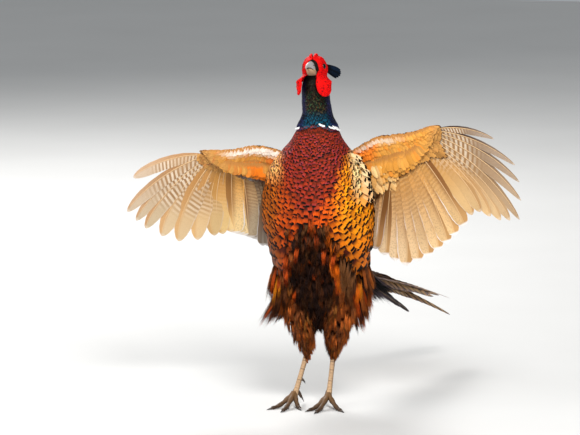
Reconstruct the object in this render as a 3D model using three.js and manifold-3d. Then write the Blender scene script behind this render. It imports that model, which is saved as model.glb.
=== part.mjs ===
// A cock common pheasant, standing upright on both feet with its wings spread,
// as a life-size still model. Millimetres, +Z up; the bird looks along -Y and its left is +X.
// Every sub-part is one closed solid, parted from its neighbours by a gap of GAP.

import * as THREE from 'three';
import { mergeVertices } from 'three/addons/utils/BufferGeometryUtils.js';
import Module from 'manifold-3d';

const wasm = await Module();
wasm.setup();

// Gap between two parts that meet
const GAP = 0.3;

// Torso: level sections from the neck down. Each has its height, the middle across,
// the half width, and how far it reaches forward and back of the feet's line.
const TORSO = [
  { z: 470, mid: 13, half: 35, front: 54, back: 16 },
  { z: 450, mid: 12, half: 46, front: 64, back: 28 },
  { z: 430, mid: 11, half: 61, front: 72, back: 40 },
  { z: 407, mid: 11, half: 78, front: 80, back: 52 },
  { z: 381, mid: 11, half: 87, front: 86, back: 62 },
  { z: 348, mid: 12, half: 92, front: 90, back: 72 },
  { z: 315, mid: 12, half: 91, front: 89, back: 80 },
  { z: 281, mid: 13, half: 86, front: 83, back: 85 },
  { z: 248, mid: 14, half: 80, front: 72, back: 88 },
  { z: 214, mid: 15, half: 73, front: 56, back: 87 },
  { z: 184, mid: 14, half: 65, front: 38, back: 80 },
  { z: 160, mid: 13, half: 52, front: 18, back: 68 },
  { z: 142, mid: 12, half: 34, front: -4, back: 54 },
  { z: 133, mid: 11, half: 12, front: -20, back: 38 },
];
const TORSO_SIDES = 20;

// Neck: level sections from the torso up into the head
const NECK = [
  { z: 470, mid: 13, half: 35, front: 54, back: 16 },
  { z: 480, mid: 13.5, half: 29, front: 52, back: 8 },
  { z: 492, mid: 13.5, half: 26, front: 51, back: 3 },
  { z: 517, mid: 12, half: 24.5, front: 51, back: -3 },
  { z: 540, mid: 11, half: 23, front: 50, back: -5 },
  { z: 560, mid: 10, half: 17, front: 42, back: -10 },
];
const NECK_SIDES = 16;

// Head: its own frame has the bill along -Y, tipped up and leaned a little to one side
const HEAD_AT = new THREE.Vector3(10, -30, 569);
const HEAD_PITCH = THREE.MathUtils.degToRad(-19);
const HEAD_ROLL = THREE.MathUtils.degToRad(-4);
const SKULL = [
  { p: -27, half: 3, top: 3, bottom: -3 },
  { p: -25, half: 10, top: 9, bottom: -10 },
  { p: -18, half: 16, top: 15.5, bottom: -18 },
  { p: -8, half: 18.5, top: 19.5, bottom: -22 },
  { p: 2, half: 17.8, top: 20, bottom: -22 },
  { p: 10, half: 15.5, top: 17.5, bottom: -19 },
  { p: 17, half: 11.8, top: 12.5, bottom: -14.5 },
  { p: 23, half: 9, top: 7.5, bottom: -11 },
];
const SKULL_SIDES = 16;

// Bill, in the head's frame: the line of the mouth is the gap between its two halves
const BILL_START = 23 + GAP;
const BILL_LENGTH = 25;
const BILL_HALF = 8.5;
const MOUTH_LEVEL = -3.2;
const MOUTH_GAPE = 1.1;

// Eyes, in the head's frame
const EYE = { x: 13.6, p: 5, q: 3, radius: 5.5 };

// Red face skin: outline about the eye as angle in degrees from straight ahead and reach
const FACE_OUTLINE = [
  [0, 12], [35, 14], [65, 19], [95, 20], [125, 17], [155, 13], [180, 12],
  [205, 14], [232, 26], [250, 42], [266, 50], [282, 46], [300, 31], [325, 16], [360, 12],
];
const FACE_THICK = 4.2;
const LOBE_TURN = { left: 44, right: 16 };

// Ear tufts, in the head's frame
const TUFT_ROOT = { x: 14, p: -12, q: 5 };

// Legs: the toe joint and the ankle of each leg, and the bare shank between them
const LEGS = {
  left: { toeJoint: [25, 12, 12], ankle: [30.5, 30, 92], knee: [49, -8, 184] },
  right: { toeJoint: [-33, 12, 12], ankle: [-13, 30, 92], knee: [-23, -8, 184] },
};
const SOCK_LEVEL = 80;
const SHANK_RADIUS = 3.9;

// Toes: where each tip lands, and the hind toe's tip, which hangs clear of the floor
const TOE_TIPS = {
  left: { inner: [-4, -38], middle: [14, -52], outer: [60, -30] },
  right: { inner: [-12, -28], middle: [-42, -52], outer: [-69, -34] },
};
const TOE_RADIUS = 4.4;
const CLAW_LENGTH = 12;

// Wings: joints of each wing, mirrored for the right one. x outward, y back, z up.
const WINGS = {
  left: {
    mirror: 1,
    shoulder: [58, 14, 412],
    elbow: [112, 26, 405],
    wrist: [162, 0, 447],
    finger: [207, -8, 471],
    lead: [[52, 6, 424], [101, 2, 453], [130, -1, 460], [165, -5, 466], [196, -9, 476], [214, -10, 477]],
    // feather number, degrees below level, reach from the wrist, depth of the tip
    fan: [
      [0, 1, 144, -30], [1, 14, 184, -28], [4, 36, 229, -20], [6, 42, 206, -12], [8.5, 48, 165, -4],
      [11, 66, 184, 6], [16, 92, 222, 12], [19, 107, 207, 22], [21, 112, 196, 60], [23, 117, 180, 84],
    ],
  },
  right: {
    mirror: -1,
    shoulder: [34, 14, 408],
    elbow: [82, 34, 392],
    wrist: [134, 6, 412],
    finger: [181, 2, 415],
    lead: [[30, 8, 418], [70, 4, 432], [100, 4, 434], [134, 2, 427], [164, 0, 425], [190, -2, 423]],
    fan: [
      [0, 18, 177, 5], [1, 32, 212, 8], [3, 43, 206, 15], [5, 59, 190, 30], [7, 75, 160, 50],
      [9, 84, 150, 62], [12, 92, 156, 70], [15, 101, 168, 76], [19, 108, 180, 84], [23, 114, 178, 92],
    ],
  },
};
const PRIMARIES = 10;
const FLIGHT_FEATHERS = 23;

// Flight feathers: how far each is rolled about its length, widths, and thickness at root and tip
const FEATHER_ROLL = THREE.MathUtils.degToRad(9);
const PRIMARY_WIDTH = 22;
const SECONDARY_WIDTH = 26;
const COVERT_WIDTH = 36;
const FEATHER_THICK = [0.7, 0.5];

// Outlines of feathers and locks: part of the length, part of the full width
const FLIGHT_SHAPE = [[0, 0.1], [0.22, 0.4], [0.6, 0.98], [0.93, 0.84], [1, 0.4]];
const COVERT_SHAPE = [[0, 0.5], [0.55, 1], [1, 0.42]];
const TAIL_SHAPE = [[0, 0.9], [0.4, 0.96], [0.8, 0.62], [1, 0.1]];
const LOCK_SHAPE = [[0, 1], [0.55, 0.8], [1, 0.1]];
const LOCK_THICK = [4, 0.9];
const TUFT_SHAPE = [[0, 0.8], [0.6, 1], [1, 0.7]];
const TUFT_FEATHERS = 4;

// Loose locks of the torso, row by row. bearings are degrees about the section:
// 0 is the bird's left, 90 the front, 180 its right, 270 the back.
const LOCK_ROWS = [
  { level: 214, bearings: [-50, -26, 206, 230], length: 62, flare: 13, width: 27 },
  { level: 188, bearings: [-72, -48, -22, 2, 178, 202, 228, 252], length: 58, flare: 16, width: 26 },
  { level: 162, bearings: [-78, -48, 228, 258], length: 52, flare: 10, width: 26 },
  { level: 186, bearings: [62, 90, 118], length: 50, flare: 4, width: 22 },
];

// Locks of the thigh, row by row: part of the way up it, the radius there, and how many
const THIGH_ROWS = [[0.3, 10, 3], [0.5, 17, 3], [0.74, 24, 4]];

// Plates down the front of each shank
const SCUTES = 6;

// Tail: from inside the rump to the longest tips, swung to the bird's left
const TAIL_ROOT = new THREE.Vector3(10, 60, 226);
const TAIL_TIP = new THREE.Vector3(137, 480, 107);
const TAIL_PAIRS = 6;
const TAIL_WIDTH = 27;
const TIER = 1.5;

// Smooth curve through pairs of place and value
function profile(pairs) {
  const last = pairs.length - 1;
  return (at) => {
    let i = 0;
    while (i < last - 1 && at > pairs[i + 1][0]) i += 1;
    const [x1, y1] = pairs[i];
    const [x2, y2] = pairs[i + 1];
    const [x0, y0] = pairs[Math.max(i - 1, 0)];
    const [x3, y3] = pairs[Math.min(i + 2, last)];
    const slope1 = i > 0 ? (y2 - y0) / (x2 - x0) : (y2 - y1) / (x2 - x1);
    const slope2 = i < last - 1 ? (y3 - y1) / (x3 - x1) : (y2 - y1) / (x2 - x1);
    const span = x2 - x1;
    const t = THREE.MathUtils.clamp((at - x1) / span, 0, 1);
    const ease = t * t * (3 - 2 * t);
    const bend = span * t * (1 - t) * ((1 - t) * slope1 - t * slope2);
    return y1 + (y2 - y1) * ease + bend;
  };
}

// Straight-line reading of a table of rows by their first entry
function readRows(rows, at) {
  let i = 0;
  while (i < rows.length - 2 && at > rows[i + 1][0]) i += 1;
  const t = THREE.MathUtils.clamp((at - rows[i][0]) / (rows[i + 1][0] - rows[i][0]), 0, 1);
  return rows[i].map((value, k) => THREE.MathUtils.lerp(value, rows[i + 1][k], t));
}

// Closed surface through rings of points, each ring with the same count
function loft(rings) {
  const count = rings[0].length;
  const points = rings.flat();
  const index = [];
  for (let r = 0; r + 1 < rings.length; r += 1) {
    for (let k = 0; k < count; k += 1) {
      const a = r * count + k;
      const b = r * count + ((k + 1) % count);
      index.push(a, b, b + count, a, b + count, a + count);
    }
  }
  for (const [start, flip] of [[0, true], [(rings.length - 1) * count, false]]) {
    const middle = new THREE.Vector3();
    for (let k = 0; k < count; k += 1) middle.addScaledVector(points[start + k], 1 / count);
    const hub = points.push(middle) - 1;
    for (let k = 0; k < count; k += 1) {
      const a = start + k;
      const b = start + ((k + 1) % count);
      index.push(...(flip ? [b, a, hub] : [a, b, hub]));
    }
  }
  return closed(points, index);
}

// Geometry from points and triangles, turned so that its faces point out
function closed(points, index) {
  let volume = 0;
  for (let i = 0; i < index.length; i += 3) {
    const [a, b, c] = [points[index[i]], points[index[i + 1]], points[index[i + 2]]];
    volume += a.dot(new THREE.Vector3().crossVectors(b, c));
  }
  const order = volume < 0 ? index.slice().reverse() : index;
  const geometry = new THREE.BufferGeometry();
  geometry.setAttribute('position', new THREE.Float32BufferAttribute(points.flatMap((v) => v.toArray()), 3));
  geometry.setIndex(order);
  return geometry;
}

// Solid for joining and cutting, from a closed geometry
function solid(geometry) {
  const bare = geometry.clone();
  bare.deleteAttribute('normal');
  bare.deleteAttribute('uv');
  const merged = mergeVertices(bare, 1e-4);
  return new wasm.Manifold(new wasm.Mesh({
    numProp: 3,
    vertProperties: new Float32Array(merged.attributes.position.array),
    triVerts: new Uint32Array(merged.index.array),
  }));
}

function union(geometries) {
  return wasm.Manifold.union(geometries.map(solid));
}

// Geometry of a solid's largest closed surface
function largest(body) {
  const pieces = body.decompose();
  pieces.sort((a, b) => b.volume() - a.volume());
  const { vertProperties, triVerts, numProp } = pieces[0].getMesh();
  const geometry = new THREE.BufferGeometry();
  const places = [];
  for (let i = 0; i < vertProperties.length; i += numProp) {
    places.push(vertProperties[i], vertProperties[i + 1], vertProperties[i + 2]);
  }
  geometry.setAttribute('position', new THREE.Float32BufferAttribute(places, 3));
  geometry.setIndex(Array.from(triVerts));
  return geometry;
}

// Level oval section with its own depth in front and behind
function levelRing(section, z, sides, grow) {
  const { mid, half, front, back } = section;
  const centre = (front - back) / 2;
  const depth = (front + back) / 2 + grow;
  const ring = [];
  for (let k = 0; k < sides; k += 1) {
    const angle = (2 * Math.PI * k) / sides;
    const across = Math.sign(Math.cos(angle)) * Math.abs(Math.cos(angle)) ** 0.92;
    const along = Math.sign(Math.sin(angle)) * Math.abs(Math.sin(angle)) ** 0.92;
    ring.push(new THREE.Vector3(mid + (half + grow) * across, -centre - depth * along, z));
  }
  return ring;
}

// Smooth reading of a table of level sections by height
function sectionReader(sections) {
  const [mid, half, front, back] = ['mid', 'half', 'front', 'back'].map((key) => (
    profile(sections.map((s) => [s.z, s[key]]).sort((a, b) => a[0] - b[0]))
  ));
  return (z) => ({ mid: mid(z), half: half(z), front: front(z), back: back(z) });
}

function columnOf(sections, levels, sides, grow = 0) {
  const sectionAt = sectionReader(sections);
  return loft(levels.map((z) => levelRing(sectionAt(z), z, sides, grow)));
}

function stepsBetween(from, to, count) {
  return Array.from({ length: count + 1 }, (_, i) => THREE.MathUtils.lerp(from, to, i / count));
}

function torsoGeometry(grow = 0) {
  const levels = [...stepsBetween(TORSO[0].z, 200, 10), 178, 160, 144, 133];
  levels[0] += grow;
  return columnOf(TORSO, levels, TORSO_SIDES, grow);
}

function neckGeometry(grow = 0) {
  const base = NECK[0].z + GAP;
  return columnOf(NECK, [base, 475, 483, 495, 512, 530, 546, 560], NECK_SIDES, grow);
}

// Places a geometry that is built in the head's own frame
const headFrame = new THREE.Matrix4().makeRotationFromEuler(new THREE.Euler(HEAD_PITCH, HEAD_ROLL, 0));
headFrame.setPosition(HEAD_AT);

function onHead(geometry) {
  return geometry.applyMatrix4(headFrame);
}

const skullHalf = profile(SKULL.map((s) => [s.p, s.half]));
const skullTop = profile(SKULL.map((s) => [s.p, s.top]));
const skullBottom = profile(SKULL.map((s) => [s.p, s.bottom]));

function skullGeometry(grow = 0) {
  const stations = [-27, -25, -20, -11, 0, 8, 14, 19, 23];
  return onHead(loft(stations.map((p, i) => {
    const centre = (skullTop(p) + skullBottom(p)) / 2;
    const height = (skullTop(p) - skullBottom(p)) / 2 + grow;
    const ring = [];
    for (let k = 0; k < SKULL_SIDES; k += 1) {
      const angle = (2 * Math.PI * k) / SKULL_SIDES;
      const x = (skullHalf(p) + grow) * Math.cos(angle);
      const ends = i === 0 ? -grow : 0;
      const start = i === stations.length - 1 ? grow : 0;
      ring.push(new THREE.Vector3(x, -(p + ends + start), centre + height * Math.sin(angle)));
    }
    return ring;
  })));
}

// Half of the bill, as arched sections from the face to the tip
function billHalf(upper) {
  const rings = [];
  const steps = 5;
  for (let i = 0; i <= steps; i += 1) {
    const t = i / steps;
    const length = upper ? BILL_LENGTH : BILL_LENGTH - 4;
    const p = BILL_START + length * t;
    const half = BILL_HALF * (1 - t ** 1.7 * 0.86) * (upper ? 1 : 0.93);
    const droop = upper ? 4.2 * t ** 2.6 : 1.2 * t ** 2;
    const mouth = MOUTH_LEVEL - droop * 0.75 - (upper ? 0 : MOUTH_GAPE);
    const rise = (upper ? 9.5 : -6) * (1 - t ** 2 * 0.82);
    const ring = [new THREE.Vector3(0, -p, mouth + Math.sign(rise) * 0.6)];
    const arch = 7;
    for (let k = 0; k <= arch; k += 1) {
      const angle = (Math.PI * k) / arch;
      ring.push(new THREE.Vector3(half * Math.cos(angle), -p, mouth + rise * Math.sin(angle) ** 0.9));
    }
    rings.push(ring);
  }
  return onHead(loft(rings));
}

function nostrilGeometry(side) {
  const slot = new THREE.SphereGeometry(1, 6, 4);
  slot.scale(1.6, 3.2, 1.1);
  slot.rotateX(THREE.MathUtils.degToRad(-18));
  slot.translate(side * 5.6, -(BILL_START + 6), 2.2);
  return onHead(slot);
}

function eyeGeometry(side, grow = 0) {
  const ball = new THREE.SphereGeometry(EYE.radius + grow, 10, 7);
  ball.translate(side * EYE.x, -EYE.p, EYE.q);
  return onHead(ball);
}

// Half width of the skull at a place seen from the side
function skullSide(p, q) {
  const centre = (skullTop(p) + skullBottom(p)) / 2;
  const height = (skullTop(p) - skullBottom(p)) / 2;
  const level = Math.min(Math.abs(q - centre) / height, 0.985);
  return skullHalf(p) * Math.sqrt(1 - level ** 2);
}

// Red face skin about one eye: brow lobe above, hanging lobe below, with a lid rim
function faceGeometry(side, turn) {
  const reach = profile(FACE_OUTLINE);
  const around = 20;
  const hole = EYE.radius * 0.8;
  const levels = [[0, 0.7], [0.1, 1.6], [0.24, 0.6], [0.66, 0.9]];
  const place = (angle, part, lift) => {
    const outer = reach((angle * 180) / Math.PI);
    const r = THREE.MathUtils.lerp(hole, outer, part);
    const p = EYE.p + r * Math.cos(angle);
    const q = EYE.q + r * Math.sin(angle);
    const low = THREE.MathUtils.smoothstep(-q, 6, 24);
    const yaw = THREE.MathUtils.degToRad(turn) * low;
    const a = p - EYE.p;
    const lobe = new THREE.Vector2(
      THREE.MathUtils.lerp(EYE.p, 12, low) + a * Math.cos(yaw),
      21 + (turn < 30 ? 4 : 0) * low - a * Math.sin(yaw) - (a * a) / 60,
    );
    const onSkull = new THREE.Vector2(p, skullSide(THREE.MathUtils.clamp(p, -26, 22), q));
    const at = onSkull.lerp(lobe, low);
    const fold = 0.5 * low * Math.sin(r * 0.55 + 3 * Math.cos(angle * 3));
    return new THREE.Vector3(side * (at.y + (lift + fold) * Math.cos(yaw)), -(at.x + lift * Math.sin(yaw)), q);
  };
  const rings = [];
  for (let k = 0; k < around; k += 1) {
    const angle = (2 * Math.PI * k) / around;
    const ring = levels.map(([part, lift]) => place(angle, part, 1.4 + lift));
    ring.push(place(angle, 1, 0.2));
    for (const part of [0.9, 0]) ring.push(place(angle, part, 1.4 - FACE_THICK));
    rings.push(ring);
  }
  return onHead(ringOf(rings));
}

// Block over the other half of the head, which keeps the two faces apart on the midline
function otherHalf(side) {
  const block = new THREE.BoxGeometry(60, 160, 160);
  block.translate(side * (1 - 30), 0, 0);
  return onHead(block);
}

// Closed surface through rings whose last ring meets the first
function ringOf(rings) {
  const count = rings[0].length;
  const index = [];
  for (let r = 0; r < rings.length; r += 1) {
    for (let k = 0; k < count; k += 1) {
      const next = (r + 1) % rings.length;
      const a = r * count + k;
      const b = r * count + ((k + 1) % count);
      const c = next * count + ((k + 1) % count);
      const d = next * count + k;
      index.push(a, b, c, a, c, d);
    }
  }
  return closed(rings.flat(), index);
}

// Round tube along a curve, with a radius that changes along it
function tube(curve, radiusAt, steps, sides) {
  const rings = [];
  let across = null;
  for (let i = 0; i <= steps; i += 1) {
    const t = i / steps;
    const along = curve.getTangent(t);
    if (across === null) {
      const away = Math.abs(along.z) < 0.9 ? new THREE.Vector3(0, 0, 1) : new THREE.Vector3(0, 1, 0);
      across = new THREE.Vector3().crossVectors(along, away).normalize();
    }
    across.addScaledVector(along, -across.dot(along)).normalize();
    const other = new THREE.Vector3().crossVectors(along, across);
    const centre = curve.getPoint(t);
    const ring = [];
    for (let k = 0; k < sides; k += 1) {
      const angle = (2 * Math.PI * k) / sides;
      ring.push(centre.clone()
        .addScaledVector(across, radiusAt(t) * Math.cos(angle))
        .addScaledVector(other, radiusAt(t) * Math.sin(angle)));
    }
    rings.push(ring);
  }
  return loft(rings);
}

function vec(list) {
  return new THREE.Vector3(...list);
}

function smoothThrough(points) {
  return new THREE.CatmullRomCurve3(points, false, 'centripetal');
}

// Block that takes away all below or above a level
function slab(zLow, zHigh) {
  const block = new THREE.BoxGeometry(1200, 1200, zHigh - zLow);
  block.translate(0, 0, (zLow + zHigh) / 2);
  return block;
}

function thighCore(leg, grow = 0) {
  const ankle = vec(leg.ankle);
  const knee = vec(leg.knee);
  const curve = smoothThrough([
    vec([ankle.x, ankle.y - 3, SOCK_LEVEL - 6]),
    ankle.clone().lerp(knee, 0.12),
    ankle.clone().lerp(knee, 0.5),
    knee,
    knee.clone().add(new THREE.Vector3(0, 34, 34)),
  ]);
  const radius = profile([[0, 5.6], [0.15, 7.5], [0.37, 16], [0.56, 25], [0.75, 27], [1, 24]]);
  return tube(curve, (t) => radius(t) + grow, 10, 12);
}

function shankCurve(leg) {
  return smoothThrough([vec(leg.toeJoint), vec(leg.toeJoint).lerp(vec(leg.ankle), 0.5), vec(leg.ankle)]);
}

function shankGeometry(leg, grow = 0) {
  const radius = profile([[0, 4.9], [0.12, 4.2], [0.5, SHANK_RADIUS], [0.85, 4.3], [1, 5]]);
  return tube(shankCurve(leg), (t) => radius(t) + grow, 5, 8);
}

// A front toe from the toe joint down to the floor, its sole a hair below floor level
function toeCurve(joint, tip) {
  const start = vec(joint);
  const end = new THREE.Vector3(tip[0], tip[1], 0);
  end.lerp(start, CLAW_LENGTH / end.distanceTo(start)).setZ(1.9);
  const near = start.clone().lerp(end, 0.3).setZ(6);
  const far = start.clone().lerp(end, 0.65).setZ(2.6);
  return smoothThrough([start.clone().setZ(9), near, far, end]);
}

function toeGeometry(joint, tip, grow = 0) {
  const radius = (t) => (TOE_RADIUS - 2 * t) * (1 + 0.12 * Math.cos(t * Math.PI * 6)) + grow;
  return tube(toeCurve(joint, tip), radius, 7, 6);
}

function hindToeCurve(leg, side) {
  const start = vec(leg.toeJoint).add(new THREE.Vector3(-side * 1, 3, 12));
  return smoothThrough([
    start,
    start.clone().add(new THREE.Vector3(-side * 4, 10, -5)),
    start.clone().add(new THREE.Vector3(-side * 7, 17, -14)),
  ]);
}

// Claw: a bent cone that goes on from the end of a toe
function clawGeometry(curve, radius) {
  const tip = curve.getPoint(1);
  const along = curve.getTangent(1);
  const start = tip.clone().addScaledVector(along, GAP);
  const middle = start.clone().addScaledVector(along, CLAW_LENGTH * 0.55).add(new THREE.Vector3(0, 0, 1));
  const end = start.clone().addScaledVector(along, CLAW_LENGTH);
  end.z = Math.max(end.z - 1, 0.7);
  const bend = new THREE.QuadraticBezierCurve3(start, middle, end);
  return tube(bend, (t) => radius * (1 - 0.88 * t), 3, 6);
}

// Place of each flight feather's root along the hand and the forearm
function featherRoot(wing, i) {
  const [finger, wrist, elbow] = [vec(wing.finger), vec(wing.wrist), vec(wing.elbow)];
  if (i < PRIMARIES) return finger.lerp(wrist, i / PRIMARIES);
  const t = (i - PRIMARIES) / (FLIGHT_FEATHERS - PRIMARIES);
  return wrist.lerp(elbow, t);
}

function featherTip(wing, i) {
  const [, below, reach, depth] = readRows(wing.fan, i);
  const angle = THREE.MathUtils.degToRad(below);
  const wrist = vec(wing.wrist);
  return new THREE.Vector3(wrist.x + reach * Math.cos(angle), depth, wrist.z + 17 - reach * Math.sin(angle));
}

function featherCurve(wing, i) {
  const root = featherRoot(wing, i);
  const tip = featherTip(wing, i);
  const along = tip.clone().sub(root);
  const upward = new THREE.Vector3(-along.z, 0, along.x).normalize();
  const bow = i < PRIMARIES ? 0.11 : 0.04;
  const middle = root.clone().lerp(tip, 0.5)
    .addScaledVector(upward, (upward.z > 0 ? 1 : -1) * bow * along.length())
    .add(new THREE.Vector3(0, 0.05 * along.length(), 0));
  return new THREE.QuadraticBezierCurve3(root, middle, tip);
}

// Arm of the wing from the shoulder to the finger, a flat lens in section
function armGeometry(wing) {
  const lead = smoothThrough(wing.lead.map(vec));
  const rear = smoothThrough([
    vec(wing.shoulder).add(new THREE.Vector3(-10, 6, -26)),
    vec(wing.shoulder).add(new THREE.Vector3(14, 6, -26)),
    vec(wing.elbow).add(new THREE.Vector3(-6, 0, -14)),
    vec(wing.elbow).lerp(vec(wing.wrist), 0.5).add(new THREE.Vector3(4, 0, -12)),
    vec(wing.wrist).add(new THREE.Vector3(6, 0, -10)),
    vec(wing.finger).add(new THREE.Vector3(4, 0, -6)),
  ]);
  const thick = profile([[0, 26], [0.3, 20], [0.6, 16], [0.85, 11], [1, 6]]);
  const rings = [];
  const steps = 9;
  for (let i = 0; i <= steps; i += 1) {
    const t = i / steps;
    const front = lead.getPoint(t);
    const back = rear.getPoint(t);
    const ring = [];
    for (let k = 0; k < 8; k += 1) {
      const angle = (2 * Math.PI * k) / 8;
      const place = front.clone().lerp(back, 0.5 - 0.5 * Math.cos(angle));
      place.y += thick(t) * 0.5 * Math.sin(angle);
      ring.push(place);
    }
    rings.push(ring);
  }
  return loft(rings);
}

// Flat feather or lock along a curve. side is the way across it, shape its outline,
// thick its thickness at the root and the tip. Both faces are split alike.
function vane(curve, side, width, shape, thick, grow = 0) {
  const points = [];
  for (const [s, w] of shape) {
    const centre = curve.getPoint(s);
    const along = curve.getTangent(s);
    const across = side.clone().addScaledVector(along, -side.dot(along)).normalize();
    const up = new THREE.Vector3().crossVectors(across, along);
    const halfWidth = (width * w) / 2 + grow;
    const halfThick = THREE.MathUtils.lerp(thick[0], thick[1], Math.min(s * 6, 1)) / 2 + grow;
    for (const [i, j] of [[-1, -1], [1, -1], [1, 1], [-1, 1]]) {
      points.push(centre.clone().addScaledVector(across, i * halfWidth).addScaledVector(up, j * halfThick));
    }
  }
  const index = [0, 1, 2, 0, 2, 3];
  for (let r = 0; r + 4 < points.length; r += 4) {
    for (let k = 0; k < 4; k += 1) {
      const [a, b] = [r + k, r + ((k + 1) % 4)];
      if (k === 2) index.push(b, a, a + 4, b, a + 4, b + 4);
      else index.push(b, a, b + 4, a, a + 4, b + 4);
    }
  }
  const end = points.length - 4;
  index.push(end + 2, end + 1, end, end + 3, end + 2, end);
  return closed(points, index);
}

// Way across a flight feather, towards its inner neighbour, rolled so that
// this edge lies towards the underside of the wing
function featherSide(wing, i) {
  const outer = featherCurve(wing, Math.max(i - 1, 0)).getPoint(0.7);
  const inner = featherCurve(wing, Math.min(i + 1, FLIGHT_FEATHERS - 1)).getPoint(0.7);
  const along = featherCurve(wing, i).getTangent(0.5);
  const level = inner.sub(outer).addScaledVector(along, -inner.dot(along)).normalize();
  const under = new THREE.Vector3().crossVectors(level, along).normalize();
  if (under.y > 0) under.negate();
  const side = level.multiplyScalar(Math.cos(FEATHER_ROLL)).addScaledVector(under, Math.sin(FEATHER_ROLL));
  return { side, under };
}

function flightFeathers(wing) {
  const feathers = [];
  for (let i = 0; i < FLIGHT_FEATHERS; i += 1) {
    const width = i < PRIMARIES ? PRIMARY_WIDTH : SECONDARY_WIDTH;
    feathers.push(vane(featherCurve(wing, i), featherSide(wing, i).side, width, FLIGHT_SHAPE, FEATHER_THICK));
  }
  return feathers;
}

// One tier of coverts over the flight feathers, above or below the wing
function covertTier(wing, { count, start, reach, lift, face }) {
  const coverts = [];
  for (let k = 0; k < count; k += 1) {
    const i = ((k + 0.5) * (FLIGHT_FEATHERS - 3)) / count;
    const curve = featherCurve(wing, i);
    const { side, under } = featherSide(wing, Math.round(i));
    const out = under.multiplyScalar(face);
    const along = curve.getTangent(0);
    const root = curve.getPoint(0).addScaledVector(along, start).addScaledVector(out, lift[0]);
    const tip = curve.getPoint(reach).addScaledVector(out, lift[1]);
    const middle = root.clone().lerp(tip, 0.5).addScaledVector(out, 1);
    const line = new THREE.QuadraticBezierCurve3(root, middle, tip);
    coverts.push(vane(line, side, COVERT_WIDTH, COVERT_SHAPE, [1, 0.6]));
  }
  return coverts;
}

function mirrored(geometry, mirror) {
  if (mirror > 0) return geometry;
  geometry.scale(-1, 1, 1);
  geometry.setIndex(Array.from(geometry.index.array).reverse());
  return geometry;
}

// Feathers that close the wing between the elbow and the body
function axillaries(wing) {
  const across = new THREE.Vector3(1, 0.1, 0);
  return [0.3, 0.6, 0.9].map((t) => {
    const root = vec(wing.shoulder).lerp(vec(wing.elbow), t).add(new THREE.Vector3(0, 4, -4));
    const tip = root.clone().add(new THREE.Vector3(-6, 44, -76));
    const middle = root.clone().lerp(tip, 0.5).add(new THREE.Vector3(2, 4, 0));
    return vane(new THREE.QuadraticBezierCurve3(root, middle, tip), across, 25, COVERT_SHAPE, [2, 0.8]);
  });
}

const COVERT_TIERS = [
  { count: 8, start: -6, reach: 0.36, lift: [3, 5.4], face: 1 },
  { count: 8, start: -6, reach: 0.42, lift: [3, 5.4], face: -1 },
];

function wingSolid(wing) {
  const pieces = [armGeometry(wing), ...flightFeathers(wing), ...axillaries(wing)];
  for (const tier of COVERT_TIERS) pieces.push(...covertTier(wing, tier));
  return union(pieces.map((piece) => mirrored(piece, wing.mirror)));
}

// Rump: a flattened cone from the torso over the feather roots
function rumpGeometry(curve) {
  const half = profile([[0, 36], [0.1, 33], [0.2, 26], [0.32, 15], [0.38, 9]]);
  const thick = profile([[0, 32], [0.1, 24], [0.2, 15], [0.32, 7], [0.38, 4]]);
  return loft([0, 0.07, 0.14, 0.22, 0.3, 0.38].map((t) => {
    const { across, up } = tailAxes(curve, t);
    const centre = curve.getPoint(t);
    return Array.from({ length: 12 }, (_, k) => {
      const angle = (2 * Math.PI * k) / 12;
      return centre.clone()
        .addScaledVector(across, half(t) * Math.cos(angle))
        .addScaledVector(up, thick(t) * Math.sin(angle) - 1);
    });
  }));
}

function tailAxes(curve, t) {
  const along = curve.getTangent(t);
  const across = new THREE.Vector3(along.y, -along.x, 0).normalize();
  return { along, across, up: new THREE.Vector3().crossVectors(across, along) };
}

// Feather of the tail: sits in tier number tier, swung aside by spread
function tailFeather(curve, { from, length, spread, tier, width, shape }) {
  const { across, up } = tailAxes(curve, 0.3);
  const total = TAIL_ROOT.distanceTo(TAIL_TIP);
  const points = [0, 0.5, 1].map((s) => {
    const t = from + (length / total) * s;
    return curve.getPoint(Math.min(t, 1))
      .addScaledVector(across, spread * s * length + Math.sign(spread) * 4)
      .addScaledVector(up, tier * TIER);
  });
  const middle = points[1].clone().multiplyScalar(2).sub(points[0].clone().lerp(points[2], 0.5));
  const line = new THREE.QuadraticBezierCurve3(points[0], middle, points[2]);
  return vane(line, across, width, shape, [1.4, 0.7]);
}

function tailSolid() {
  const curve = new THREE.QuadraticBezierCurve3(
    TAIL_ROOT,
    TAIL_ROOT.clone().lerp(TAIL_TIP, 0.5).add(new THREE.Vector3(0, 0, 14)),
    TAIL_TIP,
  );
  const total = TAIL_ROOT.distanceTo(TAIL_TIP);
  const pieces = [rumpGeometry(curve)];
  for (let pair = 0; pair < TAIL_PAIRS; pair += 1) {
    for (const side of [-1, 1]) {
      pieces.push(tailFeather(curve, {
        from: 0.12,
        length: total * 0.88 * (0.18 + 0.82 * (1 - pair / TAIL_PAIRS) ** 0.9) * (side > 0 ? 1 : 0.95),
        spread: side * (0.012 + 0.022 * pair),
        tier: 2 - 2 * pair + (side > 0 ? 0.9 : 0),
        width: TAIL_WIDTH - pair * 0.6,
        shape: TAIL_SHAPE,
      }));
    }
  }
  for (let k = 0; k < 4; k += 1) {
    const aside = (k - 1.5) / 1.5;
    const above = { from: 0.05, length: 150 - 26 * Math.abs(aside), spread: aside * 0.1 };
    pieces.push(tailFeather(curve, { ...above, tier: 7 + (k % 2) * 1.2, width: 30, shape: COVERT_SHAPE }));
    const below = { from: 0.06, length: 120 - 30 * Math.abs(aside), spread: aside * 0.12 };
    pieces.push(tailFeather(curve, { ...below, tier: -12 - (k % 2) * 1.2, width: 30, shape: COVERT_SHAPE }));
  }
  return union(pieces);
}

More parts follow.
